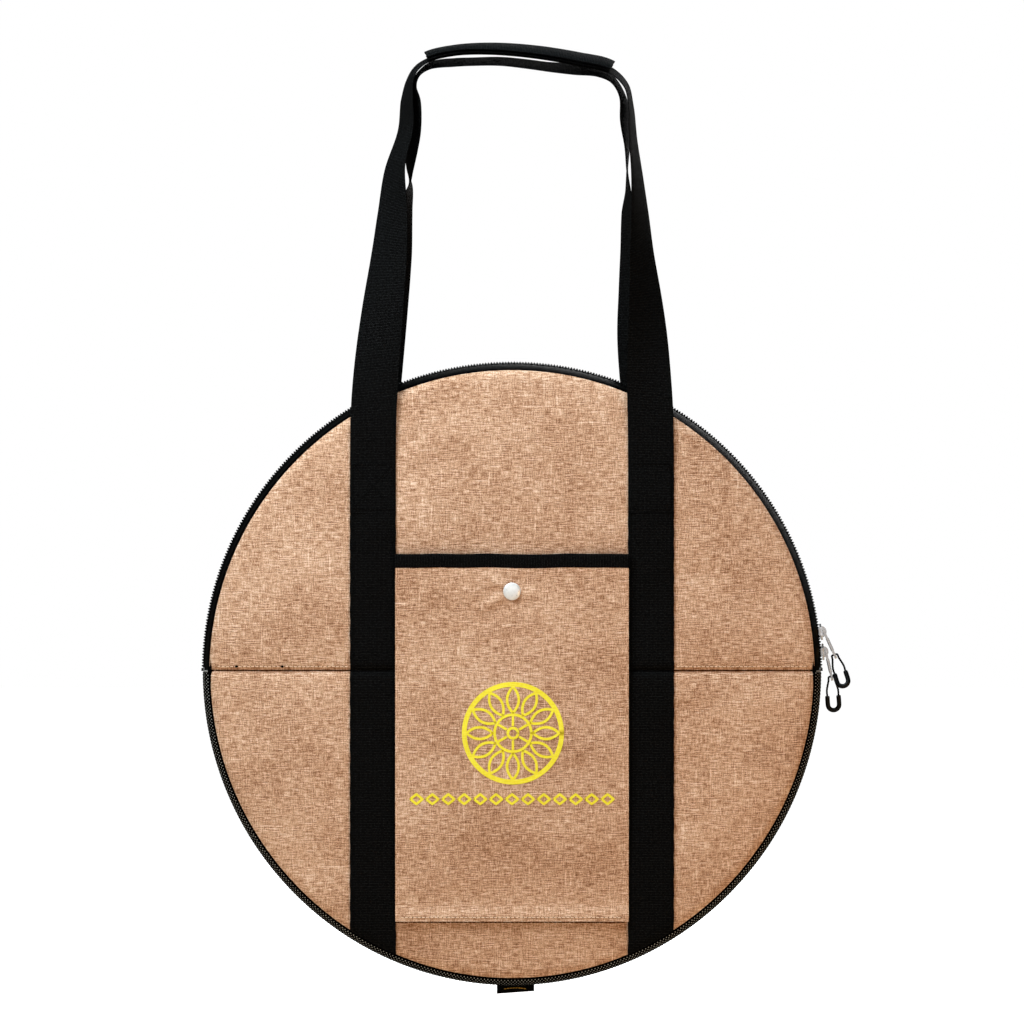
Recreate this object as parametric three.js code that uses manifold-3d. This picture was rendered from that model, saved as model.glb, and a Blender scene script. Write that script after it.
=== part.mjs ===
// Round padded carry bag for a flat round percussion instrument, 543 mm across the zip and 64 mm deep.
// X is to the right, -Y is the front, Z is up, in millimetres. The origin is the centre of the back.
// The upper half of the front is a flap that folds down at the middle seam once the two-way zip is open.
import * as THREE from "three";
import { mergeVertices } from "three/addons/utils/BufferGeometryUtils.js";
import Module from "manifold-3d";

const wasm = await Module();
wasm.setup();

// ---- Driving dimensions: the bag
const DEPTH = 64; // front crown to back crown
const HALF = DEPTH / 2;
const MID_Y = -HALF; // the zip's centre plane
const RIM_R = 270.5; // widest radius, at the middle of the side wall
const RIM_BULGE = 8.2; // how far the side wall bows out past its sewn edges
const WALL = 50; // width of the side wall
const PANEL_R = 260; // edge of the front and back fabric
const FLAT_R = 150; // the crown is flat inside this radius
const REST_R = 80; // the middle of the back, between its straps, is one flat rest
const CROWN = 7; // how far the crown falls from the flat to the edge
const FABRIC_T = 1.2;
const FOAM_T = 8;
const LINING_T = 0.8;
const GAP = 0.3; // between layers that lie on each other
const ROUND = 60; // segments in a full turn

// ---- Webbing, handles and grip
const WEB = 40;
const WEB_T = 1.6;
const STRAP_X = 121; // centre of each strap from the middle of the bag
const HANDLE_Z = 183; // where the handles leave the panels
const PAD_T = 1.6;
const TAPE_T = 0.6; // hook tape and loop tape
const ROW_STEPS = 3; // pieces between two rows of a handle
const ROW_COLUMNS = 4; // pieces across a handle, so that it keeps its thickness where it twists

// ---- Pocket and press stud
const MOUTH_Z = 96; // centre of the binding at the pocket's mouth
const BINDING = 12.4;
const POCKET_FOOT_Z = -218;
const POCKET_HALF = STRAP_X - WEB / 2 - 0.6;
const POCKET_LIFT = 4.1; // room for the closed press stud
const STUD_Z = 70.9; // the press stud, just under the mouth
const CAP_R = 7.6;

// ---- Zip
const TAPE_R = RIM_R - 1; // outer face of the zip tape at the middle
const ZIP_TAPE_T = 0.9;
const COIL_R = [RIM_R - 0.7, RIM_R + 1.2]; // inner and outer face of the zip coils
const COIL_Y = [0.8, 4.4]; // from the centre plane, each side
const STUB_END = 11.6; // degrees: below this the front zip half stays with the sliders
const SLIDER_LENGTH = 14.5;
const UPPER_SLIDER_AT = 7.4; // degrees above the middle seam
const LOWER_SLIDER_AT = 3.7;
const PIVOT_R = RIM_R + 4.9; // pull tab pivot
const TAB = { length: 26, width: 7, thickness: 1.8, hole: 22.3 };

// ---- Shape helpers
const drop = (r) => CROWN * Math.max(0, (r - FLAT_R) / (PANEL_R - FLAT_R)) ** 2.4;
const rimRadius = (y, outer) => outer - RIM_BULGE * Math.abs((y - MID_Y) / (WALL / 2)) ** 2.2;
const v2 = (x, y) => new THREE.Vector2(x, y);
const v3 = (x, y, z) => new THREE.Vector3(x, y, z);
const steps = (from, to, n) => Array.from({ length: n + 1 }, (_, i) => from + ((to - from) * i) / n);

function solidOf(geometry) {
  const bare = geometry.clone();
  bare.deleteAttribute("normal");
  bare.deleteAttribute("uv");
  const merged = mergeVertices(bare, 1e-4);
  const mesh = new wasm.Mesh({
    numProp: 3,
    vertProperties: new Float32Array(merged.attributes.position.array),
    triVerts: new Uint32Array(merged.index.array),
  });
  return new wasm.Manifold(mesh);
}

function geometryOf(solid) {
  const mesh = solid.getMesh();
  const geometry = new THREE.BufferGeometry();
  geometry.setAttribute("position", new THREE.BufferAttribute(mesh.vertProperties, 3));
  geometry.setIndex(new THREE.BufferAttribute(mesh.triVerts, 1));
  return geometry;
}

// A closed profile of [radius, y] points turned about the bag's axis, listed so that the faces point out.
function turned(profile, segments = ROUND) {
  return solidOf(new THREE.LatheGeometry(profile.map(([r, y]) => v2(r, y)), segments));
}

function box(x, y, z) {
  const geometry = new THREE.BoxGeometry(x[1] - x[0], y[1] - y[0], z[1] - z[0]);
  return solidOf(geometry.translate((x[0] + x[1]) / 2, (y[0] + y[1]) / 2, (z[0] + z[1]) / 2));
}

// A cylinder along Y.
function rod(radius, y, x, z, segments = 20) {
  const geometry = new THREE.CylinderGeometry(radius, radius, y[1] - y[0], segments);
  return solidOf(geometry.translate(x, (y[0] + y[1]) / 2, z));
}

// The wedge of space between two angles, counted from +X towards +Z.
function wedge(from, to) {
  const reach = 420;
  const arc = steps(from, to, 8).map((deg) => (deg * Math.PI) / 180);
  const shape = new THREE.Shape([v2(0, 0), ...arc.map((a) => v2(reach * Math.cos(a), reach * Math.sin(a)))]);
  const geometry = new THREE.ExtrudeGeometry(shape, { depth: 200, bevelEnabled: false });
  return solidOf(geometry.rotateX(Math.PI / 2).translate(0, 60, 0));
}

const above = (solid, z) => solid.intersect(box([-400, 400], [-200, 200], [z, 400]));
const below = (solid, z) => solid.intersect(box([-400, 400], [-200, 200], [-400, z]));

// A box bent along frames: x is across, y is through and z runs along the path.
function bentBox(width, thickness, count, frameAt, across = 1) {
  const geometry = new THREE.BoxGeometry(width, thickness, 1, across, 1, count);
  const position = geometry.attributes.position;
  for (let i = 0; i < position.count; i++) {
    const { at, side, out } = frameAt(position.getZ(i) + 0.5);
    const p = at.clone().addScaledVector(side, position.getX(i)).addScaledVector(out, position.getY(i));
    position.setXYZ(i, p.x, p.y, p.z);
  }
  return geometry;
}

// A flat band laid on the front (face -1) or back (face 1) panel, following its crown.
function laidBand({ face, x, z, thickness, lift, across = 4, along = 12 }) {
  const geometry = new THREE.BoxGeometry(x[1] - x[0], thickness, z[1] - z[0], across, 1, along);
  geometry.translate((x[0] + x[1]) / 2, 0, (z[0] + z[1]) / 2);
  const position = geometry.attributes.position;
  for (let i = 0; i < position.count; i++) {
    const px = position.getX(i);
    const pz = position.getZ(i);
    const under = HALF - drop(Math.hypot(px, pz)) + (typeof lift === "number" ? lift : lift(pz));
    position.setY(i, MID_Y + face * (under + thickness / 2) + position.getY(i));
  }
  return geometry;
}

// ---- Materials
function material(color, roughness, metalness = 0) {
  return new THREE.MeshStandardMaterial({ color, roughness, metalness });
}

const canvas = material(0xc4966f, 0.9);
const foam = material(0x8a8a8a, 0.95);
const lining = material(0x1d1d1f, 0.85);
const webbing = material(0x121212, 0.8);
const zipTape = material(0x1a1a1a, 0.7);
const nylon = material(0x151515, 0.45);
const steel = material(0xcfcfd2, 0.25, 1);
const rubber = material(0x1b1b1b, 0.55);

const bag = new THREE.Group();

function add(name, shape, finish, parent = bag) {
  const geometry = shape.isBufferGeometry ? shape : geometryOf(shape);
  const mesh = new THREE.Mesh(geometry, finish);
  mesh.name = name;
  parent.add(mesh);
  return mesh;
}

// ---- Padded panels: outer fabric, foam and lining, on the front (face -1) or the back (face 1)
const crownRadii = (radius) => [0, REST_R, ...steps(FLAT_R, radius, 4)];
const crowned = (height, radius) => crownRadii(radius).map((r) => [r, height - drop(r)]);
const level = (height, radius) => [[0, height], [radius, height]];

function layer(face, outer, inner) {
  const profile = [...outer, ...inner.reverse()].map(([r, height]) => [r, MID_Y + face * height]);
  return turned(face > 0 ? profile.reverse() : profile);
}

const FOAM_TOP = HALF - FABRIC_T - GAP;
const LINING_TOP = FOAM_TOP - FOAM_T - GAP;
const fabricLayer = (face) => layer(face, crowned(HALF, PANEL_R), crowned(HALF - FABRIC_T, PANEL_R));
const FOAM_R = PANEL_R - 4;
const foamLayer = (face) => layer(face, crowned(FOAM_TOP, FOAM_R), level(FOAM_TOP - FOAM_T, FOAM_R));
const LINING_R = PANEL_R - 3;
const LINING_UNDER = LINING_TOP - LINING_T;
const liningLayer = (face) => layer(face, level(LINING_TOP, LINING_R), level(LINING_UNDER, LINING_R));

function seamBinding(face) {
  const near = MID_Y + face * (LINING_UNDER - GAP);
  const far = near - face * 2.4;
  const [low, high] = [Math.min(near, far), Math.max(near, far)];
  return turned([[250, low], [258, low], [258, high], [250, high], [250, low]]);
}

function addPanels() {
  add("back_panel", fabricLayer(1), canvas);
  add("back_foam", foamLayer(1), foam);
  add("back_lining", liningLayer(1), lining);
  add("back_seam_binding", seamBinding(1), webbing);

  const stud = [0, STUD_Z];
  const fabric = fabricLayer(-1).subtract(rod(1.9, [-66, -60], ...stud));
  const pad = foamLayer(-1).subtract(rod(6.2, [-63.5, -60.6], ...stud));
  add("front_panel_upper", above(fabric, 0.3), canvas);
  add("front_panel_lower", below(fabric, -0.3), canvas);
  add("front_foam_upper", above(pad, 0.6), foam);
  add("front_foam_lower", below(pad, -0.6), foam);
  add("front_lining_upper", above(liningLayer(-1), 0.3), lining);
  add("front_lining_lower", below(liningLayer(-1), -0.3), lining);
  add("front_seam_binding_upper", above(seamBinding(-1), 0.6), webbing);
  add("front_seam_binding_lower", below(seamBinding(-1), -0.6), webbing);
}

// ---- Side wall: webbing gusset below, zip above
function wall(outerR, thickness, y, count = 6) {
  const outside = steps(y[0], y[1], count).map((at) => [rimRadius(at, outerR), at]);
  const inside = outside.map(([r, at]) => [r - thickness, at]).reverse();
  return turned([...outside, ...inside, outside[0]]);
}

function coil(face) {
  const y = COIL_Y.map((offset) => MID_Y + face * offset).sort((a, b) => a - b);
  const [low, high] = COIL_R;
  return turned([[high, y[0]], [high, y[1]], [low, y[1]], [low, y[0]], [high, y[0]]]);
}

function addSideWall() {
  const edge = [MID_Y - WALL / 2, MID_Y + WALL / 2];
  add("bottom_gusset", below(wall(RIM_R, 1.6, edge), -0.3), webbing);
  add("gusset_lining", below(wall(RIM_R - 2, LINING_T, [MID_Y - 18, MID_Y + 18], 4), -0.3), lining);
  const frontTape = wall(TAPE_R, ZIP_TAPE_T, [edge[0], MID_Y - 1], 3);
  const backTape = wall(TAPE_R, ZIP_TAPE_T, [MID_Y + 1, edge[1]], 3);
  const flapSpan = wedge(STUB_END + 0.4, 180 - STUB_END - 0.4);
  const rightStub = wedge(0.15, STUB_END);
  const leftStub = wedge(180 - STUB_END, 179.85);
  add("zip_tape_back", backTape.intersect(wedge(0.15, 179.85)), zipTape);
  add("zip_tape_front", frontTape.intersect(flapSpan), zipTape);
  add("zip_tape_front_end_right", frontTape.intersect(rightStub), zipTape);
  add("zip_tape_front_end_left", frontTape.intersect(leftStub), zipTape);
  const teeth = wedge(1, 179);
  add("zip_coil_back", coil(1).intersect(teeth), nylon);
  add("zip_coil_front", coil(-1).intersect(flapSpan), nylon);
  add("zip_coil_front_end_right", coil(-1).intersect(rightStub).intersect(teeth), nylon);
  add("zip_coil_front_end_left", coil(-1).intersect(leftStub).intersect(teeth), nylon);
  for (const [name, deg] of [["zip_stop_right", 0.45], ["zip_stop_left", 179.55]]) {
    const stop = new THREE.BoxGeometry(1.8, 9.2, 2.6).translate(RIM_R + 0.4, MID_Y, 0);
    add(name, stop, steel).rotation.y = (-deg * Math.PI) / 180;
  }
}

// ---- Straps sewn flat on the panels, ending in the edge seam
function addStraps() {
  const round = rod(PANEL_R - 0.2, [-120, 60], 0, 0, ROUND);
  for (const [side, sign] of [["left", -1], ["right", 1]]) {
    const x = [sign * STRAP_X - WEB / 2, sign * STRAP_X + WEB / 2];
    const strap = { x, thickness: WEB_T, lift: GAP, across: 2 };
    const upper = laidBand({ ...strap, face: -1, z: [0.5, HANDLE_Z - 0.6], along: 6 });
    const lower = laidBand({ ...strap, face: -1, z: [-250, -0.5], along: 9 });
    const back = laidBand({ ...strap, face: 1, z: [-250, HANDLE_Z - 0.6], along: 14 });
    add(`strap_front_${side}_upper`, upper, webbing);
    add(`strap_front_${side}_lower`, solidOf(lower).intersect(round), webbing);
    add(`strap_back_${side}`, solidOf(back).intersect(round), webbing);
  }
}

// ---- Pocket between the front straps, with a bound mouth and a press stud
const ease = (t) => Math.min(1, Math.max(0, t)) ** 2 * (3 - 2 * Math.min(1, Math.max(0, t)));
const pocketLift = (z) => GAP + (POCKET_LIFT - GAP) * ease((z - POCKET_FOOT_Z) / 110);

function addPocket() {
  const x = [-POCKET_HALF, POCKET_HALF];
  const cloth = { face: -1, x, thickness: FABRIC_T, lift: pocketLift, across: 8 };
  const upper = laidBand({ ...cloth, z: [0.5, MOUTH_Z - BINDING / 2 - 0.2], along: 5 });
  const lower = laidBand({ ...cloth, z: [POCKET_FOOT_Z, -0.5], along: 10 });
  const mouth = { ...cloth, thickness: 2.6, lift: POCKET_LIFT - 0.7, along: 1 };
  const hole = rod(1.9, [-72, -66], 0, STUD_Z);
  add("pocket_panel_upper", solidOf(upper).subtract(hole), canvas);
  add("pocket_panel_lower", lower, canvas);
  add("pocket_binding", laidBand({ ...mouth, z: [MOUTH_Z - BINDING / 2, MOUTH_Z + BINDING / 2] }), webbing);
}

// The four pieces of the press stud, each turned about an axis along Y.
function addPressStud() {
  const panelFace = -DEPTH;
  const clothIn = -DEPTH - POCKET_LIFT;
  const clothOut = clothIn - FABRIC_T;
  const pieces = {
    stud_rivet: [[1.95, -62.55], [4.6, -62.55], [4.6, -61.9], [1.95, -61.9], [1.95, -62.55]],
    stud_ball: [[0, panelFace - 3.2], [1.5, panelFace - 3.1], [2.2, panelFace - 2.3], [1.7, panelFace - 1.3],
      [1.7, panelFace - 0.9], [5, panelFace - 0.8], [5, panelFace - 0.2], [1.65, panelFace - 0.2],
      [1.65, -61.8], [0, -61.8]],
    stud_socket: [[1.9, clothIn + 0.2], [5.2, clothIn + 0.2], [5.2, clothIn + 2.8], [2.7, clothIn + 3],
      [2.7, clothIn + 0.7], [1.9, clothIn + 0.7], [1.9, clothIn + 0.2]],
    stud_cap: [[0, clothOut - 1.9], [4, clothOut - 1.7], [6.6, clothOut - 1.1], [CAP_R, clothOut - 0.2],
      [1.5, clothOut - 0.2], [1.5, clothIn + 0.5], [0, clothIn + 0.5]],
  };
  for (const [name, profile] of Object.entries(pieces)) {
    const shape = new THREE.LatheGeometry(profile.map(([r, y]) => v2(r, y)), 24);
    add(name, shape, steel).position.z = STUD_Z;
  }
}

// ---- Handles: each is a webbing loop, given by rows of [x, y, z, turn, roll]. Turn is the direction
// across the webbing in degrees, 0 for +X and -90 for -Y, so the webbing turns from lying on the panel
// to lying flat in the hand. Roll tips its front edge down.
// The front handle runs outside and above the back one.
const FRONT_HANDLE = [
  [-121, -63.5, 184.5, 0], [-120.5, -63, 225, -2], [-118, -61, 265, -10], [-113, -56, 315, -24],
  [-107, -50, 367, -39], [-104.5, -45, 402, -48], [-102.5, -40, 440, -64], [-93.3, -36, 475, -70],
  [-92.2, -33, 502, -74], [-89.9, -32, 516.8, -81, 7], [-84.3, -32, 527.8, -86, 11],
  [-73.5, -32, 535.6, -90, 10], [-50, -32, 541.2, -90, 8.5], [-18, -32, 542.7, -90, 11],
  [20, -32, 539.9, -90, 13], [58, -32, 533.7, -90, 14], [86, -32, 526.8, -90, 15],
  [99.5, -32, 514, -96, 11], [104.1, -33, 496, -97, 3], [106.1, -35, 466, -102],
  [109.4, -39, 436, -105], [111.9, -44, 402, -113], [113.5, -50, 367, -122], [116, -55, 333, -134],
  [118, -58, 298, -148], [119, -61, 263, -164], [120.5, -63, 225, -177], [121, -63.5, 184.5, -180],
];
const BACK_HANDLE = [
  [-121, -0.5, 184.5, -180], [-119.8, -1.2, 225, -177], [-116, -4, 265, -168], [-109.6, -10, 315, -152],
  [-101.5, -13, 367, -131], [-96, -17, 402, -114], [-90, -20.5, 425, -94], [-89.8, -23.5, 440, -80],
  [-88.6, -26, 457, -72], [-86.8, -29, 475, -68], [-86.3, -32, 498, -69], [-87.2, -32, 510.5, -79, 4],
  [-82.4, -32, 522.6, -88, 9], [-71, -32, 531, -90, 15], [-50, -32, 533.7, -90, 16],
  [-36, -32, 534.3, -90, 15], [-10, -32, 534.6, -90, 16], [14, -32, 532.2, -90, 17],
  [32, -32, 529.8, -90, 17], [54, -32, 527.8, -90, 20], [74, -32, 525.8, -90, 19],
  [88, -32, 518.5, -93, 14], [96.8, -32, 504, -99, 6], [98.9, -31, 482, -105], [100.9, -29, 460, -97],
  [101, -27, 440, -92], [102.2, -23.5, 420, -84], [102.2, -20, 402, -76], [105.7, -15, 367, -60],
  [108.3, -10, 333, -45], [110.2, -6, 298, -30], [114, -3.5, 263, -12], [118, -1.4, 225, -4],
  [121, -0.5, 184.5, 0],
];

function handlePath(rows) {
  const points = new THREE.CatmullRomCurve3(rows.map(([x, y, z]) => v3(x, y, z)), false, "centripetal");
  const radians = (column, i) => ((rows[i][column] ?? 0) * Math.PI) / 180;
  return (t) => {
    const at = points.getPoint(t);
    const along = points.getTangent(t);
    const place = t * (rows.length - 1);
    const i = Math.min(rows.length - 2, Math.floor(place));
    const [turn, roll] = [3, 4].map((c) => THREE.MathUtils.lerp(radians(c, i), radians(c, i + 1), place - i));
    const side = v3(Math.cos(turn), Math.sin(turn), -Math.sin(roll));
    side.addScaledVector(along, -side.dot(along)).normalize();
    return { at, side, out: along.clone().cross(side) };
  };
}

// A strip on the upper side of the front handle, over the rows where the grip is, raised by lift.
const GRIP_ROWS = [11, 16];

function onGrip(frameAt, width, thickness, lift, inset = 0) {
  const [from, to] = GRIP_ROWS.map((row) => row / (FRONT_HANDLE.length - 1));
  return bentBox(width, thickness, (GRIP_ROWS[1] - GRIP_ROWS[0]) * ROW_STEPS, (t) => {
    const frame = frameAt(from + inset + (to - from - 2 * inset) * t);
    return { ...frame, at: frame.at.clone().addScaledVector(frame.out, -lift) };
  });
}

function addHandles() {
  const front = handlePath(FRONT_HANDLE);
  const back = handlePath(BACK_HANDLE);
  const count = (rows) => (rows.length - 1) * ROW_STEPS;
  add("handle_front", bentBox(WEB, WEB_T, count(FRONT_HANDLE), front, ROW_COLUMNS), webbing);
  add("handle_back", bentBox(WEB, WEB_T, count(BACK_HANDLE), back, ROW_COLUMNS), webbing);
  const padLift = WEB_T / 2 + 0.6 + PAD_T / 2;
  const loopLift = padLift + PAD_T / 2 + 0.5 + TAPE_T / 2;
  const hookLift = loopLift + TAPE_T + 0.4;
  const flapLift = hookLift + TAPE_T / 2 + 0.6 + PAD_T / 2;
  add("grip_pad", onGrip(front, 44, PAD_T, padLift), webbing);
  add("grip_loop_tape", onGrip(front, 20, TAPE_T, loopLift, 0.012), lining);
  add("grip_hook_tape", onGrip(front, 20, TAPE_T, hookLift, 0.012), lining);
  add("grip_flap", onGrip(front, 42, PAD_T, flapLift), webbing);
}

// ---- Zip sliders and pulls, built at the middle of the right side and turned to their angle
const toRim = new THREE.Matrix4().makeBasis(v3(0, 1, 0), v3(0, 0, 1), v3(1, 0, 0));

function extruded(points, depth, at = 0, holes = []) {
  const shape = new THREE.Shape(points.map(([u, w]) => v2(u, w)));
  for (const [u, w, r] of holes) {
    shape.holes.push(new THREE.Path().absarc(u, w, r, 0, Math.PI * 2, true));
  }
  const geometry = new THREE.ExtrudeGeometry(shape, { depth, bevelEnabled: false, curveSegments: 8 });
  return geometry.translate(0, 0, at);
}

function sliderBody(nose) {
  const half = SLIDER_LENGTH / 2;
  const outline = [[-4.2, -half], [4.2, -half], [5.2, -half + 3], [6, half - 4], [4.6, half], [-4.6, half],
    [-6, half - 4], [-5.2, -half + 3]].map(([y, z]) => [y, z * nose]);
  const plate = nose > 0 ? outline : outline.reverse();
  const outer = solidOf(extruded(plate, 1.2, RIM_R + 1.8).applyMatrix4(toRim));
  const inner = solidOf(extruded(plate, 1.2, RIM_R - 4.4).applyMatrix4(toRim));
  const z = [nose * 1.5, nose * 5.5].sort((a, b) => a - b);
  const post = box([RIM_R - 4, RIM_R + 2.5], [-0.5, 0.5], z);
  const flanges = [-5.4, 5.4].map((y) => box([RIM_R + 0.2, RIM_R + 2.4], [y - 0.35, y + 0.35], [-3.2, 3.2]));
  const arch = new THREE.Shape(steps(0, Math.PI, 10).map((a) => v2(5 * Math.cos(a), 4.5 * Math.sin(a))));
  const lug = new THREE.ExtrudeGeometry(arch, { depth: 3, bevelEnabled: false });
  const upright = new THREE.Matrix4().makeBasis(v3(0, 0, 1), v3(1, 0, 0), v3(0, 1, 0));
  lug.translate(0, 0, -1.5).applyMatrix4(upright);
  const bridge = solidOf(lug.translate(RIM_R + 2.7, 0, 0)).subtract(rod(1.25, [-3, 3], PIVOT_R, 0, 14));
  return [post, bridge, ...flanges].reduce((whole, piece) => whole.add(piece), outer.add(inner));
}

// A flat metal tab hanging down from its pivot, forked round the slider's bridge.
function pullTab() {
  const w = TAB.width / 2;
  const outline = [[-w, 1.4], [-w, -TAB.length + 2], [-w + 2, -TAB.length], [w - 2, -TAB.length],
    [w, -TAB.length + 2], [w, 1.4], [1.9, 1.4], [1.9, -6], [-1.9, -6], [-1.9, 1.4]];
  const plate = extruded(outline, TAB.thickness, -TAB.thickness / 2, [[0, -TAB.hole, 1.9]]);
  return solidOf(plate.applyMatrix4(toRim)).add(rod(0.85, [-w + 0.4, w - 0.4], 0, 0, 12));
}

// The cord loop: from the tab's hole down to a round bottom, in the plane of the bag.
const CORD = { r: 0.75, half: 4.9, bottom: -30, sleeveTop: -17 };

function loopBottom() {
  const { half, bottom } = CORD;
  return steps(0, Math.PI, 8).map((a) => v3(half * Math.cos(a), 0, bottom + half - half * Math.sin(a)));
}

function cordCurve() {
  const side = [[2.4, -0.6], [2.8, -3.5], [CORD.half, -12], [CORD.half, -18]];
  const left = side.map(([x, z]) => v3(-x, 0, z)).reverse();
  const right = side.map(([x, z]) => v3(x, 0, z));
  return new THREE.CatmullRomCurve3([v3(0, 0, 0), ...right, ...loopBottom(), ...left], true, "centripetal");
}

function pullCord() {
  return new THREE.TubeGeometry(cordCurve(), 48, CORD.r, 8, true);
}

function pullSleeve() {
  const { half, sleeveTop } = CORD;
  const points = [v3(half, 0, sleeveTop), ...loopBottom(), v3(-half, 0, sleeveTop)];
  const path = new THREE.CatmullRomCurve3(points, false, "centripetal");
  const ring = new THREE.Shape().absarc(0, 0, 2, 0, Math.PI * 2, false);
  ring.holes.push(new THREE.Path().absarc(0, 0, 1.25, 0, Math.PI * 2, true));
  return new THREE.ExtrudeGeometry(ring, { steps: 22, extrudePath: path, curveSegments: 6 });
}

// swing and hang turn the tab and the loop outwards from straight down; lean tips the loop forwards.
function addSlider({ place, at, nose, swing, hang, lean }) {
  const station = new THREE.Group();
  station.position.set(0, MID_Y, 0);
  station.rotation.y = (-at * Math.PI) / 180;
  bag.add(station);
  add(`slider_${place}`, sliderBody(nose), steel, station);
  const tab = new THREE.Group();
  tab.position.set(PIVOT_R, 0, 0);
  tab.rotation.y = (-swing * Math.PI) / 180;
  station.add(tab);
  add(`pull_tab_${place}`, pullTab(), steel, tab);
  const loop = new THREE.Group();
  loop.position.set(0, 0, -TAB.hole);
  loop.rotation.set((lean * Math.PI) / 180, (-hang * Math.PI) / 180, 0, "YXZ");
  tab.add(loop);
  add(`pull_cord_${place}`, pullCord(), nylon, loop);
  add(`pull_sleeve_${place}`, pullSleeve(), rubber, loop);
}

function addLabel() {
  add("label_tab", box([-13.3, 19.5], [-6.4, -5.6], [-284, -262.5]), webbing);
}

addPanels();
addSideWall();
addStraps();
addPocket();
addPressStud();
addHandles();
addSlider({ place: "upper", at: UPPER_SLIDER_AT, nose: -1, swing: 17, hang: -8, lean: -19 });
addSlider({ place: "lower", at: LOWER_SLIDER_AT, nose: 1, swing: 9, hang: -8, lean: 8 });
addLabel();

export default bag;
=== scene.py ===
"""Looks for a round padded carry bag: meshes, materials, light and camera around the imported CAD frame.

X is to the right, -Y is the front and Z is up. Shapes are worked out in millimetres and stored in metres.
"""
import math

import bmesh
import bpy
import numpy as np
from mathutils import Matrix, Vector


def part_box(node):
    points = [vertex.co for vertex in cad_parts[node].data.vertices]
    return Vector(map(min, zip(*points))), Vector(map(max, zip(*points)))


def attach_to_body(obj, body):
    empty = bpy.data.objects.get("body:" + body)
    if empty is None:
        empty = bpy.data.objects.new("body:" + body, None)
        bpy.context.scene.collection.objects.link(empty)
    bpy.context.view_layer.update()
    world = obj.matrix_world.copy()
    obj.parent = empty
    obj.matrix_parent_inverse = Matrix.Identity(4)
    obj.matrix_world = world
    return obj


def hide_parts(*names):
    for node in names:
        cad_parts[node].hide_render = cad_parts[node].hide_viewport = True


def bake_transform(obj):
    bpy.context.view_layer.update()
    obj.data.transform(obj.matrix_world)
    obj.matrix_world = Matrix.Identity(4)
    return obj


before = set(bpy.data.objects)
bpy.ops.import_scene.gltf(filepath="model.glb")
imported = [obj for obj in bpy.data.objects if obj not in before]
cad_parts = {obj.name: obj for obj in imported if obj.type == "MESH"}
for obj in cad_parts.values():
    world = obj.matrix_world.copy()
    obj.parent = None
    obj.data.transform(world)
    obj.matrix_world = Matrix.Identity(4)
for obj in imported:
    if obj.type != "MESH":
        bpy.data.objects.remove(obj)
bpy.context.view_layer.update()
MM = 0.001

# ---- Driving dimensions in millimetres, as in the CAD
HALF = 32.0  # half the depth, panel crown to panel crown
MID_Y = -HALF
CLOTH_T = 1.1
PANEL_R = 263.6  # where the panel cloth turns in to the edge seam
FLAT_R = 150.0
RIM_R = 269.5  # outer face of the zip tape at its middle
RIM_BULGE = 6.9  # how far the side wall bows out past its sewn edges
WALL_HALF = 25.0
SAG = 3.5  # how far the bottom of the rim hangs below a true circle
SEAM_Z = 2.0  # the middle seam, where the flap folds
STRAP_X = 121.0
STRAP_W = 40.0
STRAP_T = 1.6
HANDLE_Z = 183.5
POCKET_HALF = 101.5
POCKET_FOOT = -214.0
POCKET_LIFT = 4.1
MOUTH_Z = 98.0
STUD_Z = 70.9
PATCH_LOW = 141.0  # the stitched patch that joins a handle to its strap
PATCH_HIGH = 182.0
SPLIT_Z = 12.0  # the pocket's cloth bends above this level
POCKET_WEAVE = (700, 300)  # the pocket is cut from another place in the cloth
HALVES = (("upper", 1), ("lower", -1))
SIDES = (("left", -1), ("right", 1))
FRONT = np.array([0.0, -1.0, 0.0])
BACK = np.array([0.0, 1.0, 0.0])


# ---- Small shared helpers
def srgb(r, g, b):
    """A linear colour from 0-255 screen values."""
    def channel(v):
        v /= 255
        return v / 12.92 if v <= 0.04045 else ((v + 0.055) / 1.055) ** 2.4
    return (channel(r), channel(g), channel(b), 1.0)


def grey(value):
    return (value, value, value, 1)


def ease(t):
    """Smooth step from 0 to 1."""
    t = np.clip(t, 0, 1)
    return t * t * (3 - 2 * t)


def stack(x, y, z):
    """Points from three grids of coordinates."""
    return np.stack(np.broadcast_arrays(x, y, z), -1).astype(float)


def cloth_uv(x, z):
    """The cloth's own coordinates at each point of a grid."""
    return stack(x, z, 0)[..., :2]


def unit(v):
    return v / np.linalg.norm(v, axis=-1, keepdims=True)


def squared(wave, power):
    """A sine or cosine pushed out towards a square wave, for flat tapes with round edges."""
    return np.sign(wave) * np.abs(wave) ** power


def quads(index):
    """Four-sided faces between the neighbours in a grid of point numbers."""
    return np.stack([index[:-1, :-1], index[:-1, 1:], index[1:, 1:], index[1:, :-1]], -1).reshape(-1, 4)


def ripples(x, z, seed, wavelength, count=16):
    """Gentle random waves of about unit height over the plane."""
    rng = np.random.default_rng(seed)
    total = 0.0
    for _ in range(count):
        turn = rng.uniform(0, math.pi)
        length = wavelength * rng.uniform(0.6, 1.7)
        wave = (x * math.cos(turn) + z * math.sin(turn)) * 2 * math.pi / length
        total = total + np.sin(wave + rng.uniform(0, 2 * math.pi))
    return total / math.sqrt(count / 2)


def sag(points):
    """The lower half of the bag hangs a little longer than a true circle."""
    out = points.copy()
    out[..., 2] -= SAG * np.clip(-points[..., 2] / RIM_R, 0, 1.2) ** 2
    return out


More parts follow.
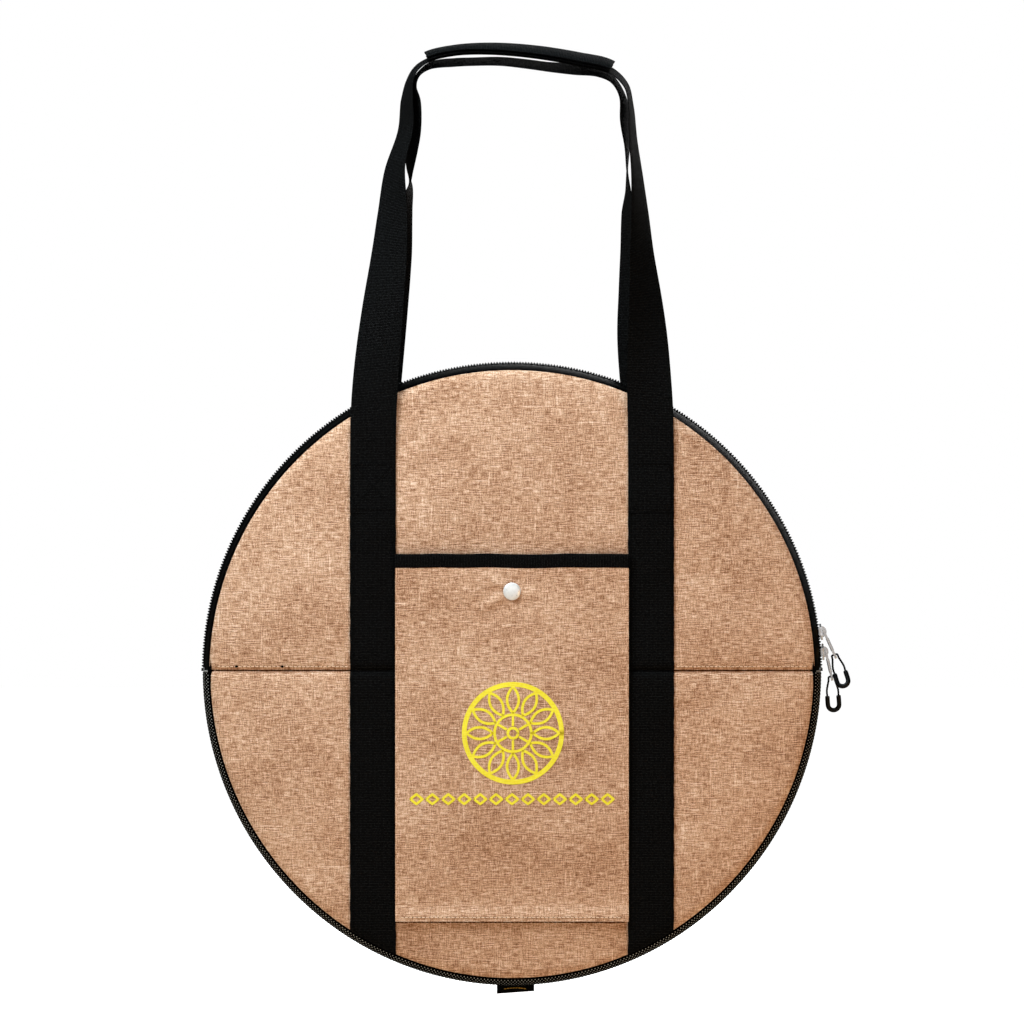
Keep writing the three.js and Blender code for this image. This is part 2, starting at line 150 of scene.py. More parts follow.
def finish_mesh(name, points, faces, material, uv=None, sharp=38):
    """A smooth-shaded object from points in millimetres, doubled points merged and faces turned out."""
    mesh = bpy.data.meshes.new(name)
    mesh.from_pydata((np.asarray(points) * MM).tolist(), [], [list(map(int, f)) for f in faces])
    if uv is not None:
        layer = mesh.uv_layers.new(name="weave")
        corners = np.zeros(len(mesh.loops), np.int32)
        mesh.loops.foreach_get("vertex_index", corners)
        layer.data.foreach_set("uv", np.asarray(uv, np.float32)[corners].ravel())
    bm = bmesh.new()
    bm.from_mesh(mesh)
    bmesh.ops.remove_doubles(bm, verts=bm.verts, dist=2e-6)
    bmesh.ops.dissolve_degenerate(bm, edges=bm.edges, dist=1e-7)
    bmesh.ops.recalc_face_normals(bm, faces=bm.faces)
    bm.to_mesh(mesh)
    bm.free()
    mesh.shade_smooth()
    mesh.set_sharp_from_angle(angle=math.radians(sharp))
    mesh.materials.append(material)
    obj = bpy.data.objects.new(name, mesh)
    bpy.context.scene.collection.objects.link(obj)
    return obj


def grid_normals(points, towards):
    """Unit normals of a grid of points, on the side of the vectors in towards."""
    normal = np.cross(np.gradient(points, axis=0), np.gradient(points, axis=1))
    length = np.linalg.norm(normal, axis=-1, keepdims=True)
    normal = np.where(length > 1e-9, normal / np.maximum(length, 1e-9), towards)
    side = np.sign(np.sum(normal * towards, axis=-1, keepdims=True))
    return normal * np.where(side == 0, 1, side)


def slab(name, outer, inner, material, uv, sharp=38):
    """One closed mesh between two grids of points, each (rows, columns, xyz)."""
    rows, cols = outer.shape[:2]
    count = rows * cols
    index = np.arange(count).reshape(rows, cols)
    face = quads(index)
    border = np.concatenate([index[0, :-1], index[:-1, -1], index[-1, :0:-1], index[:0:-1, 0]])
    after = np.roll(border, -1)
    wall = np.stack([border, border + count, after + count, after], -1)
    faces = np.concatenate([face, face[:, ::-1] + count, wall])
    points = np.concatenate([outer.reshape(-1, 3), inner.reshape(-1, 3)])
    flat_uv = np.asarray(uv, float).reshape(-1, 2) * MM
    return finish_mesh(name, points, faces, material, np.concatenate([flat_uv, flat_uv]), sharp)


def tube_mesh(name, points, material, uv=None, sharp=60, capped=True):
    """A grid of points whose rows are closed loops, with its first and last rows filled."""
    index = np.arange(points[..., 0].size).reshape(points.shape[:2])
    faces = quads(index).tolist()
    if capped:
        faces += [index[0, :-1].tolist(), index[-1, :-1].tolist()[::-1]]
    return finish_mesh(name, points.reshape(-1, 3), faces, material, uv, sharp)


def attach(obj, slot, follow, *nodes):
    """Hides the CAD nodes a piece stands for, then hands the piece to the function it follows or parents it
    to that body's empty. The material slot is not used.
    """
    if nodes:
        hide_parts(*nodes)
    if callable(follow):
        follow(obj)
    else:
        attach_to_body(obj, follow)


def sheet(name, points, thickness, towards, material, uv):
    """Cloth of one thickness whose seen face is the grid of points."""
    back = points - grid_normals(points, towards) * thickness
    return slab(name, points, back, material, uv)


def stitches(name, rows, material, radius=0.42, length=2.7, pitch=3.7, first=1.1):
    """Thread laid as short rounded stitches along rows of points; each row is an (n, 3) array."""
    ring = 6
    spans = np.array([0, 0.12, 0.5, 0.88, 1.0])
    swell = np.array([0.25, 0.8, 1.0, 0.8, 0.25])
    turn = np.arange(ring) * 2 * math.pi / ring
    points, faces = [], []
    for row in rows:
        steps = np.linalg.norm(np.diff(row, axis=0), axis=1)
        run = np.concatenate([[0], np.cumsum(steps)])
        for start in np.arange(first, run[-1] - length, pitch):
            at = start + spans * length
            centre = np.stack([np.interp(at, run, row[:, k]) for k in range(3)], -1)
            along = unit(centre[-1] - centre[0])
            side = unit(np.cross(along, [0.3, 1, 0.2]))
            up = np.cross(side, along)
            base = len(points)
            for c, s in zip(centre, swell):
                loop = c + radius * s * (np.cos(turn)[:, None] * side + np.sin(turn)[:, None] * up)
                points.extend(loop)
            for k in range(len(spans) - 1):
                for j in range(ring):
                    a, b = base + k * ring + j, base + k * ring + (j + 1) % ring
                    faces.append([a, b, b + ring, a + ring])
            faces.append([base + j for j in range(ring)][::-1])
            faces.append([base + (len(spans) - 1) * ring + j for j in range(ring)])
    return finish_mesh(name, np.array(points), faces, material)


# ---- Materials
class Shader:
    """A node tree with a Principled surface, and short calls to add to it."""

    def __init__(self, name):
        self.material = bpy.data.materials.new(name)
        self.material.use_nodes = True
        self.tree = self.material.node_tree
        self.surface = self.tree.nodes["Principled BSDF"]

    def node(self, kind, inputs=None, **settings):
        made = self.tree.nodes.new("ShaderNode" + kind)
        for key, value in settings.items():
            setattr(made, key, value)
        for key, value in (inputs or {}).items():
            self.put(made.inputs[key], value)
        return made

    def put(self, socket, value):
        if isinstance(value, bpy.types.NodeSocket):
            self.tree.links.new(value, socket)
        else:
            socket.default_value = value

    def math(self, operation, a, b=0.0, c=0.0):
        return self.node("Math", {0: a, 1: b, 2: c}, operation=operation).outputs[0]

    def total(self, *terms, start=0.0):
        """A sum of values, each with its weight."""
        for value, weight in terms:
            start = self.math("MULTIPLY_ADD", value, weight, start)
        return start

    def weave_uv(self, across=1.0, along=1.0):
        """The cloth's own coordinates, in cycles for the given threads per metre."""
        uv = self.node("UVMap", uv_map="weave").outputs[0]
        return self.node("VectorMath", {0: uv, 1: (across, along, 1)}, operation="MULTIPLY").outputs[0]

    def noise(self, vector, detail=2.0, roughness=0.5):
        return self.node("TexNoise", {"Vector": vector, "Scale": 1.0, "Detail": detail,
                                      "Roughness": roughness}).outputs["Fac"]

    def wave(self, coordinate, axis):
        """A sine between 0 and 1 with one cycle per unit of the chosen coordinate."""
        parts = self.node("SeparateXYZ", {0: coordinate})
        turned = self.math("MULTIPLY", parts.outputs[axis], 2 * math.pi)
        return self.math("MULTIPLY_ADD", self.math("SINE", turned), 0.5, 0.5)

    def slubs(self, vector):
        """Long thin streaks, zero nearly everywhere."""
        streak = self.math("MULTIPLY_ADD", self.noise(vector, 1, 0.4), 6.0, -3.9)
        return self.math("MINIMUM", self.math("MAXIMUM", streak, 0.0), 1.0)

    def ramp(self, value, stops):
        made = self.node("ValToRGB", {"Fac": value})
        elements = made.color_ramp.elements
        while len(elements) < len(stops):
            elements.new(0.5)
        for element, (place, colour) in zip(elements, stops):
            element.position = place
            element.color = colour
        return made.outputs[0]

    def mix(self, share, a, b, blend="MIX"):
        made = self.node("Mix", data_type="RGBA", blend_type=blend)
        self.put(made.inputs[0], share)
        self.put(made.inputs[6], a)
        self.put(made.inputs[7], b)
        return made.outputs[2]

    def bump(self, height, strength, distance):
        made = self.node("Bump", {"Height": height, "Strength": strength, "Distance": distance})
        self.put(self.surface.inputs["Normal"], made.outputs[0])

    def set(self, **values):
        for key, value in values.items():
            self.put(self.surface.inputs[key.replace("_", " ")], value)
        return self.material


def canvas():
    """Heathered beige canvas: uneven threads both ways, with a few long pale slubs and a fine plain weave."""
    s = Shader("canvas")
    grain = s.noise(s.weave_uv(1050, 1050), 1, 0.5)
    across = s.noise(s.weave_uv(110, 1080), 2, 0.6)
    down = s.noise(s.weave_uv(1080, 130), 2, 0.6)
    cloud = s.noise(s.weave_uv(14, 18), 2, 0.5)
    slub = s.math("ADD", s.slubs(s.weave_uv(22, 420)), s.slubs(s.weave_uv(420, 26)))
    value = s.total((grain, 0.26), (across, 0.44), (down, 0.3), (cloud, 0.12), (slub, 0.08), start=-0.06)
    colour = s.ramp(value, [(0.33, srgb(92, 56, 37)), (0.44, srgb(161, 116, 86)), (0.53, srgb(213, 171, 140)),
                            (0.68, srgb(255, 234, 214))])
    grid = s.weave_uv(620, 620)
    weave = s.math("MULTIPLY", s.wave(grid, 0), s.wave(grid, 1))
    s.bump(s.total((value, 0.9), (weave, 0.2)), 0.5, 0.0006)
    return s.set(Base_Color=colour, Roughness=0.86, Specular_IOR_Level=0.1, Sheen_Weight=0.42,
                 Sheen_Roughness=0.38)


def webbing():
    """Heavy black webbing: ribs across the band broken by the lengthwise threads."""
    s = Shader("webbing")
    grid = s.weave_uv(900, 720)
    weave = s.total((s.wave(grid, 0), 0.4), (s.wave(grid, 1), 0.6))
    fuzz = s.noise(s.weave_uv(650, 800), 3, 0.7)
    value = s.total((weave, 0.35), (fuzz, 0.65))
    colour = s.ramp(value, [(0.38, grey(0.0006)), (0.55, grey(0.003)), (0.72, grey(0.02))])
    s.bump(s.total((weave, 1.0), (fuzz, 0.6)), 0.5, 0.0004)
    return s.set(Base_Color=colour, Roughness=0.88, Specular_IOR_Level=0.015)


def gusset_webbing():
    """The side wall's coarse black webbing: staggered thread crowns painted light grey in its colour, a
    painted highlight where they catch the light.
    """
    s = Shader("gusset_webbing")
    grid = s.weave_uv(150, 333)
    across, along = (s.math("SUBTRACT", s.wave(grid, axis), 0.5) for axis in (0, 1))
    crowns = s.math("MULTIPLY_ADD", s.math("MULTIPLY", across, along), 2.0, 0.5)
    fuzz = s.noise(s.weave_uv(1100, 1100), 2, 0.6)
    value = s.total((crowns, 0.75), (fuzz, 0.25))
    # the light grey at the thread crowns is a painted highlight on the black webbing
    colour = s.ramp(value, [(0.66, grey(0.0004)), (0.72, grey(0.006)), (0.78, (0.36, 0.36, 0.34, 1))])
    s.bump(value, 0.8, 0.0009)
    return s.set(Base_Color=colour, Roughness=0.8, Specular_IOR_Level=0.0)


def zip_cloth():
    """Black zip tape in a fine twill. Its colour is kept only in a band between its sewn edge and its teeth
    and is darkened on both sides: the band is a painted highlight where the rounded tape catches the light,
    and the darkening at the sewn edge is painted shade.
    """
    s = Shader("zip_cloth")
    grid = s.weave_uv(900, 900)
    parts = s.node("SeparateXYZ", {0: grid})
    slant = s.math("SINE", s.math("MULTIPLY", s.math("ADD", parts.outputs[0], parts.outputs[1]), 2 * math.pi))
    fuzz = s.noise(s.weave_uv(700, 700), 2, 0.6)
    depth = s.node("SeparateXYZ", {0: s.node("UVMap", uv_map="weave").outputs[0]}).outputs[0]
    from_middle = s.math("ABSOLUTE", s.math("ADD", depth, HALF * MM))
    # the kept band is a painted highlight; the darkening at the sewn edge is painted shade
    stripe = s.ramp(s.math("MULTIPLY", from_middle, 40),
                    [(0.45, grey(0.02)), (0.6, grey(1)), (0.74, grey(1)), (0.82, grey(0.02))])
    colour = s.ramp(fuzz, [(0.3, grey(0.0008)), (0.7, (0.005, 0.0048, 0.0045, 1))])
    s.bump(s.math("ADD", slant, fuzz), 0.25, 0.0002)
    return s.set(Base_Color=s.mix(1.0, colour, stripe, "MULTIPLY"), Roughness=0.55, Specular_IOR_Level=0.01)


def plain(name, colour, roughness, grain=900, strength=0.15, **more):
    """A plain surface with a fine grain in its colour, gloss and relief."""
    s = Shader(name)
    vector = s.node("TexCoord").outputs["Object"]
    scaled = s.node("VectorMath", {0: vector, 1: (grain, grain, grain)}, operation="MULTIPLY").outputs[0]
    fuzz = s.noise(scaled, 3, 0.6)
    dark = tuple(0.75 * c for c in colour[:3]) + (1,)
    s.bump(fuzz, strength, 0.0002)
    tone = s.mix(fuzz, dark, colour)
    gloss = s.math("MULTIPLY_ADD", fuzz, 0.16, roughness - 0.08)
    return s.set(Base_Color=tone, Roughness=gloss, **more)


def lining_cloth():
    """Thin plain-weave black lining."""
    s = Shader("lining_cloth")
    grid = s.weave_uv(700, 700)
    weave = s.math("MULTIPLY", s.wave(grid, 0), s.wave(grid, 1))
    fuzz = s.noise(s.weave_uv(400, 400), 2, 0.6)
    colour = s.ramp(fuzz, [(0.3, (0.01, 0.01, 0.011, 1)), (0.7, (0.022, 0.022, 0.024, 1))])
    s.bump(weave, 0.3, 0.0002)
    return s.set(Base_Color=colour, Roughness=0.6, Specular_IOR_Level=0.4)


def ink():
    """Yellow screen print that lets the weave show through its surface."""
    s = Shader("ink")
    across = s.noise(s.weave_uv(150, 1150), 3, 0.6)
    down = s.noise(s.weave_uv(1050, 170), 3, 0.6)
    threads = s.total((across, 0.6), (down, 0.4))
    colour = s.ramp(threads, [(0.3, srgb(238, 214, 30)), (0.5, srgb(252, 238, 56)),
                              (0.7, srgb(255, 246, 96))])
    s.bump(threads, 0.35, 0.0004)
    return s.set(Base_Color=colour, Roughness=0.62, Specular_IOR_Level=0.3)


CANVAS = canvas()
WEBBING = webbing()
GUSSET = gusset_webbing()
ZIP_CLOTH = zip_cloth()
LINING = lining_cloth()
INK = ink()
NYLON = plain("nylon", grey(0.002), 0.5, strength=0.1, Specular_IOR_Level=0.03)
FOAM = plain("foam", grey(0.16), 0.95, grain=1500, strength=0.6)
RUBBER = plain("rubber", grey(0.002), 0.4, grain=1200, strength=0.08, Specular_IOR_Level=0.12)
PLATED = plain("plated", (0.66, 0.66, 0.67, 1), 0.25, grain=500, strength=0.04, Metallic=0.9)
# near-white colour with little metal for the stud cap: a painted reflection of the bright studio in place of
# plated metal
BRIGHT_CAP = plain("bright_cap", (1, 1, 0.99, 1), 0.3, grain=500, strength=0.03, Metallic=0.3)
BLACKENED = plain("blackened", grey(0.012), 0.4, grain=800, strength=0.1, Metallic=0.2)
BLACK_THREAD = plain("black_thread", grey(0.003), 0.8, grain=2500, Specular_IOR_Level=0.02)
TAN_THREAD = plain("tan_thread", srgb(244, 214, 184), 0.7, grain=2500, strength=0.4)
# dark brown used only as painted shade: in the middle seam's groove, in the needle holes and under the
# pocket's hem
PAINTED_SHADE_BROWN = plain("painted_shade_brown", srgb(62, 36, 22), 0.8, grain=2500, Specular_IOR_Level=0.02)
PALE_THREAD = plain("pale_thread", srgb(150, 148, 144), 0.7, grain=2500, strength=0.4)
GOLD_THREAD = plain("gold_thread", srgb(206, 160, 50), 0.45, grain=2500, strength=0.4)


# ---- Soft relief of the padded panels, from a short cloth simulation
CELL = 6.0  # spacing of the simulated cloth
RELIEF_REACH = 264.0  # half the side of the simulated square


def sewn_down(x, z):
    """Where the cloth is held: at the edge seam, the middle seam and under the straps."""
    edge = np.hypot(x, z) > PANEL_R - 1.2 * CELL
    seam = np.abs(z - SEAM_Z) < 0.6 * CELL
    strap = np.abs(np.abs(x) - STRAP_X) < STRAP_W / 2
    return edge | seam | strap


def simulated_relief(seed):
    """Heights, on a square grid, of a cloth a little too large for its frame and blown up softly."""
    ticks = np.arange(-RELIEF_REACH, RELIEF_REACH + 0.1, CELL)
    count = len(ticks)
    x, z = np.meshgrid(ticks, ticks)
    start = 0.25 * ripples(x, z, seed, 60)
    index = np.arange(count * count).reshape(count, count)
    mesh = bpy.data.meshes.new("relief")
    mesh.from_pydata((stack(x, z, start).reshape(-1, 3) * MM).tolist(), [], quads(index).tolist())
    obj = bpy.data.objects.new("relief", mesh)
    bpy.context.scene.collection.objects.link(obj)
    held = obj.vertex_groups.new(name="held")
    held.add(index[sewn_down(x, z)].tolist(), 1.0, "REPLACE")
    cloth = obj.modifiers.new("cloth", "CLOTH")
    settings = cloth.settings
    settings.vertex_group_mass = "held"
    settings.quality = 6
    settings.shrink_min = -0.012
    settings.tension_stiffness = 20
    settings.bending_stiffness = 2.5
    settings.use_pressure = True
    settings.uniform_pressure_force = 4
    settings.effector_weights.gravity = 0
    cloth.point_cache.frame_start = 1
    cloth.point_cache.frame_end = 20
    scene = bpy.context.scene
    for number in range(1, 21):
        scene.frame_set(number)
    moved = obj.evaluated_get(bpy.context.evaluated_depsgraph_get()).to_mesh()
    co = np.zeros(count * count * 3, np.float32)
    moved.vertices.foreach_get("co", co)
    scene.frame_set(1)
    bpy.data.objects.remove(obj)
    height = co.reshape(count, count, 3)[..., 2] / MM
    height -= blurred(height, 9)
    return np.clip(height * 1.1 / max(np.percentile(np.abs(height), 98), 0.2), -1.6, 1.6)


def smoothed(line, kernel):
    """A row of values run through a kernel, its ends held level."""
    return np.convolve(np.pad(line, len(kernel) // 2, mode="edge"), kernel, "valid")


def blurred(grid, reach):
    """A square grid smoothed both ways."""
    kernel = np.hanning(2 * reach + 1)
    kernel /= kernel.sum()
    for axis in (0, 1):
        grid = np.apply_along_axis(smoothed, axis, grid, kernel)
    return grid


def sampled(grid, x, z):
    """The relief at any places, by smooth interpolation between its grid points."""
    place = [np.clip((np.asarray(v, float) + RELIEF_REACH) / CELL, 0, grid.shape[0] - 1.001) for v in (x, z)]
    col, row = (v.astype(int) for v in place)
    u, v = (ease(p - i) for p, i in zip(place, (col, row)))
    low = grid[row, col] * (1 - u) + grid[row, col + 1] * u
    high = grid[row + 1, col] * (1 - u) + grid[row + 1, col + 1] * u
    return low * (1 - v) + high * v


# ---- The padded panels
RELIEF = {seed: simulated_relief(seed) for seed in (11, 23)}


def panel_height(x, z, seed):
    """How far a panel's cloth stands from the bag's middle plane."""
    r = np.hypot(x, z)
    fall = 4.0 * (np.clip(r - FLAT_R, 0, None) / (PANEL_R - FLAT_R)) ** 2.4
    roll = 3.2 * np.clip((r - PANEL_R + 9) / 9, 0, 1) ** 2.5
    edge = 1 - np.clip(r / PANEL_R, 0, 1) ** 10
    waves = 0.5 * ripples(x, z, seed, 150) + 0.2 * ripples(x, z, seed + 1, 52)
    return HALF - fall - roll + waves * edge + 0.8 * sampled(RELIEF[seed], x, z) * edge - 0.6


def front_y(x, z):
    """The front cloth's face, which dips into the middle seam."""
    dip = 2.8 * np.exp(-(((z - SEAM_Z) / 2.1) ** 2)) + 0.7 * np.exp(-(((z - SEAM_Z) / 9) ** 2))
    return MID_Y - panel_height(x, z, 11) + dip


def back_y(x, z):
    return MID_Y + panel_height(x, z, 23)


def half_disc(radius, low, sign, rows=112, cols=171):
    """A grid over the part of a disc above (sign 1) or below (sign -1) the level low."""
    start = math.asin(sign * low / radius)
    turn = start + (math.pi / 2 - start) * np.linspace(0, 1, rows) ** 1.35
    z = sign * radius * np.sin(turn)
    across = np.sin(np.linspace(-1, 1, cols) * math.pi / 2)
    return np.outer(radius * np.cos(turn), across), np.repeat(z[:, None], cols, 1)


def whole_disc(radius, rows=230, cols=171):
    """A grid over a whole disc, its rows level."""
    return half_disc(radius, -radius, 1, rows, cols)


def fold(obj):
    """Bakes the placement of a piece on the front into its mesh."""
    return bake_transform(obj)


def front_panels():
    for name, sign in HALVES:
        x, z = half_disc(PANEL_R, SEAM_Z + 0.5 * sign, sign)
        points = sag(stack(x, front_y(x, z), z))
        obj = sheet("front_cloth_" + name, points, CLOTH_T, FRONT, CANVAS, cloth_uv(x, z))
        attach(obj, "canvas", fold, "front_panel_" + name)


def seam_groove_shade():
    """Painted shade in the bottom of the middle seam: a thin dark brown strip where the cloth's folded edges
    lie in the groove's shadow.
    """
    x, z = np.meshgrid(np.linspace(-258, 258, 120), SEAM_Z + np.linspace(-1.5, 1.5, 5))
    points = sag(stack(x, front_y(x, z * 0 + SEAM_Z) - 0.5 + np.abs(z - SEAM_Z), z))
    obj = sheet("seam_shade_strip", points, 0.5, FRONT, PAINTED_SHADE_BROWN, cloth_uv(x, z))
    attach(obj, "canvas", fold)


def back_panel():
    x, z = whole_disc(PANEL_R)
    points = sag(stack(x, back_y(x, z), z))
    obj = sheet("back_cloth", points, CLOTH_T, BACK, CANVAS, cloth_uv(x, z))
    attach(obj, "canvas", "bag", "back_panel")


def foam_pads():
    """Soft foam between the cloth and the lining."""
    depth = HALF - 9.2
    for name, sign in HALVES:
        x, z = half_disc(256, 0.8 * sign, sign, 60, 81)
        outer = sag(stack(x, front_y(x, z) + CLOTH_T + 0.5, z))
        obj = slab("foam_pad_" + name, outer, sag(stack(x, MID_Y - depth, z)), FOAM, cloth_uv(x, z), 60)
        attach(obj, "foam", fold, "front_foam_" + name)
    x, z = whole_disc(256, 120, 81)
    outer = sag(stack(x, back_y(x, z) - CLOTH_T - 0.5, z))
    obj = slab("foam_pad_back", outer, sag(stack(x, MID_Y + depth, z)), FOAM, cloth_uv(x, z), 60)
    attach(obj, "foam", "bag", "back_foam")


def linings():
    """The black cloth inside, a little slack over the foam."""
    depth = HALF - 11.0
    for name, sign in HALVES:
        x, z = half_disc(257, 0.3 * sign, sign, 70, 91)
        y = MID_Y - depth + 0.3 * ripples(x, z, 31, 90)
        obj = sheet("front_lining_cloth_" + name, sag(stack(x, y, z)), 0.8, BACK, LINING, cloth_uv(x, z))
        attach(obj, "lining", fold, "front_lining_" + name)
    x, z = whole_disc(257, 140, 91)
    y = MID_Y + depth + 0.3 * ripples(x, z, 37, 90)
    obj = sheet("back_lining_cloth", sag(stack(x, y, z)), 0.8, FRONT, LINING, cloth_uv(x, z))
    attach(obj, "lining", "bag", "back_lining")


def ring_tape(name, node, face, turn, follow):
    """Tape that binds the raw edges of a panel and the side wall, inside the bag."""
    ring_r = 254.0
    angle = np.linspace(*turn, 160)[:, None]
    around = np.linspace(0, 2 * math.pi, 17)[None, :]
    wave = 0.25 * np.sin(angle * 31) + 0.2 * np.sin(angle * 47 + 1)
    r = ring_r + 4 * squared(np.cos(around), 0.4) + wave
    depth = HALF - 12.4 + 1.25 * squared(np.sin(around), 0.4)
    points = sag(stack(r * np.cos(angle), MID_Y + face * depth, r * np.sin(angle)))
    uv = cloth_uv(around * 1.6, angle * ring_r).reshape(-1, 2) * MM
    whole = turn[1] - turn[0] > 6
    attach(tube_mesh(name, points, WEBBING, uv, capped=not whole), "webbing", follow, node)


def seam_bindings():
    gap = 0.003
    ring_tape("inner_tape_upper", "front_seam_binding_upper", -1, (gap, math.pi - gap), fold)
    ring_tape("inner_tape_lower", "front_seam_binding_lower", -1, (math.pi + gap, 2 * math.pi - gap), fold)
    ring_tape("inner_tape_back", "back_seam_binding", 1, (0, 2 * math.pi), "bag")


# ---- The side wall: webbing below, zip above
def wall_radius(y, top=RIM_R):
    return top - RIM_BULGE * (np.abs(y - MID_Y) / WALL_HALF) ** 2.3


def arc_band(name, radius_at, y, turn, thickness, material, columns):
    """A band round the rim; turn is the span of angles and y the span of depths."""
    depth = np.linspace(y[0], y[1], columns)
    steps = int(abs(turn[1] - turn[0]) * RIM_R / 1.1)
    angle = np.linspace(turn[0], turn[1], steps)
    r = radius_at(depth[None, :], angle[:, None])
    points = stack(r * np.cos(angle)[:, None], depth[None, :], r * np.sin(angle)[:, None])
    out = stack(np.cos(angle)[:, None], depth[None, :] * 0, np.sin(angle)[:, None])
    uv = cloth_uv(depth[None, :], angle[:, None] * RIM_R)
    back = points - out * thickness
    return slab(name, sag(points), sag(back), material, uv)


def side_wall():
    lower, upper = (math.pi, 2 * math.pi), (0, math.pi)
    rib = 3.0 / RIM_R
    ribbed = lambda y, a: wall_radius(y, RIM_R + 1.2) + 0.2 * np.cos(2 * math.pi * a / rib)
    slack = lambda y, a: wall_radius(y, RIM_R - 1.4) + 0.3 * np.sin(40 * a)
    smooth = lambda y, a: wall_radius(y) + 0 * a
    whole, inner = (MID_Y - WALL_HALF, MID_Y + WALL_HALF), (MID_Y - 18, MID_Y + 18)
    front, back = (MID_Y - WALL_HALF, MID_Y - 1.2), (MID_Y + 1.2, MID_Y + WALL_HALF)
    obj = arc_band("gusset_band", ribbed, whole, lower, 1.6, GUSSET, 25)
    attach(obj, "webbing", "bag", "bottom_gusset")
    obj = arc_band("gusset_lining_cloth", slack, inner, lower, 0.8, LINING, 9)
    attach(obj, "lining", "bag", "gusset_lining")
    obj = arc_band("zip_cloth_front", smooth, front, upper, 0.9, ZIP_CLOTH, 13)
    attach(obj, "zip_tape", lambda cloth: part_zip(cloth, front),
           "zip_tape_front", "zip_tape_front_end_right", "zip_tape_front_end_left")
    obj = arc_band("zip_cloth_back", smooth, back, upper, 0.9, ZIP_CLOTH, 13)
    attach(obj, "zip_tape", "bag", "zip_tape_back")


def part_zip(obj, depth=None):
    """The zip parts above the sliders: bakes their placement into their mesh."""
    fold(obj)
    x, y, z = vertex_places(obj)


def vertex_places(obj):
    co = np.zeros(len(obj.data.vertices) * 3, np.float32)
    obj.data.vertices.foreach_get("co", co)
    return co.reshape(-1, 3).T / MM


def coil_half(name, side, phase):
    """One half of the coil: rounded teeth that interlock with the other half's and just cross the middle."""
    pitch = 5.0 / RIM_R
    angle = np.arange(0.0135, math.pi - 0.0135, pitch / 14)
    tooth = np.clip(np.sin(2 * math.pi * (angle / pitch + phase)), 0, 1) ** 1.1
    rows = []
    for depth, rise in ((-0.9, 0.3), (0.1, 0.85), (1.2, 1.0), (2.6, 1.0), (3.8, 0.75), (4.3, 0.0)):
        r = RIM_R + 0.1 + rise * (0.5 + 1.7 * tooth)
        rows.append(stack(r * np.cos(angle), MID_Y + side * (depth + 0 * angle), r * np.sin(angle)))
    outer = np.stack(rows, 1)
    outer[:, 0, 1] = MID_Y - side * (0.9 * tooth - 0.1)
    turn, base = angle[:, None], RIM_R - 0.1
    inner = stack(base * np.cos(turn), outer[..., 1], base * np.sin(turn))
    return slab(name, outer, inner, NYLON, cloth_uv(outer[..., 1], turn * RIM_R), sharp=60)


def zip_coils():
    front = coil_half("coil_teeth_front", -1, 0.0)
    attach(front, "nylon", part_zip, "zip_coil_front", "zip_coil_front_end_right", "zip_coil_front_end_left")
    attach(coil_half("coil_teeth_back", 1, 0.5), "nylon", "bag", "zip_coil_back")


# ---- Webbing bands
BAND = np.linspace(-1, 1, 15)
BAND_EDGE = 1 - 0.75 * np.abs(BAND) ** 7  # webbing thins at its two edges


def panel_y(face, x, z):
    """The front (face -1) or back (face 1) cloth's face."""
    return front_y(x, z) if face < 0 else back_y(x, z)


def band(name, centre, side, out, width, thickness, material=WEBBING, cup=0.0):
    """Webbing along centre points. side runs across it, out is its seen face and cup drops its edges."""
    thin = thickness / 2 * BAND_EDGE
    across = side[:, None, :] * (BAND * width / 2)[None, :, None]
    rise = out[:, None, :] * thin[None, :, None]
    run = np.concatenate([[0], np.cumsum(np.linalg.norm(np.diff(centre, axis=0), axis=1))])
    uv = cloth_uv((BAND * width / 2)[None, :], run[:, None])
    middle = centre[:, None, :] + across - out[:, None, :] * (cup * np.abs(BAND) ** 3)[None, :, None]
    return slab(name, middle + rise, middle - rise, material, uv, sharp=50)


def strap_on_panel(name, face, x, z):
    """A strap lying on the front (face -1) or back (face 1); a low end of None is the edge seam."""
    gx = x + BAND * STRAP_W / 2
    low = -np.sqrt((PANEL_R - 0.6) ** 2 - gx ** 2) if z[0] is None else np.full_like(gx, z[0])
    share = np.linspace(0, 1, int((z[1] - low.min()) / 2.5))[:, None]
    gz = low + (z[1] - low) * share
    gx = gx + 0.18 * np.sin(gz / 3.1) * np.abs(BAND) ** 9
    y = panel_y(face, gx, gz) + face * (0.45 + STRAP_T / 2)
    outer, inner = (sag(stack(gx, y + side * face * STRAP_T / 2 * BAND_EDGE, gz)) for side in (1, -1))
    return slab(name, outer, inner, WEBBING, cloth_uv(gx, gz), 50)


def straps():
    for name, sign in SIDES:
        x = sign * STRAP_X
        for part, span in (("lower", (None, SEAM_Z)), ("upper", (SEAM_Z, PATCH_LOW))):
            obj = strap_on_panel(f"strap_web_{name}_{part}", -1, x, span)
            attach(obj, "webbing", fold, f"strap_front_{name}_{part}")
        rear = strap_on_panel(f"strap_web_back_{name}", 1, x, (None, PATCH_LOW))
        attach(rear, "webbing", "bag", f"strap_back_{name}")


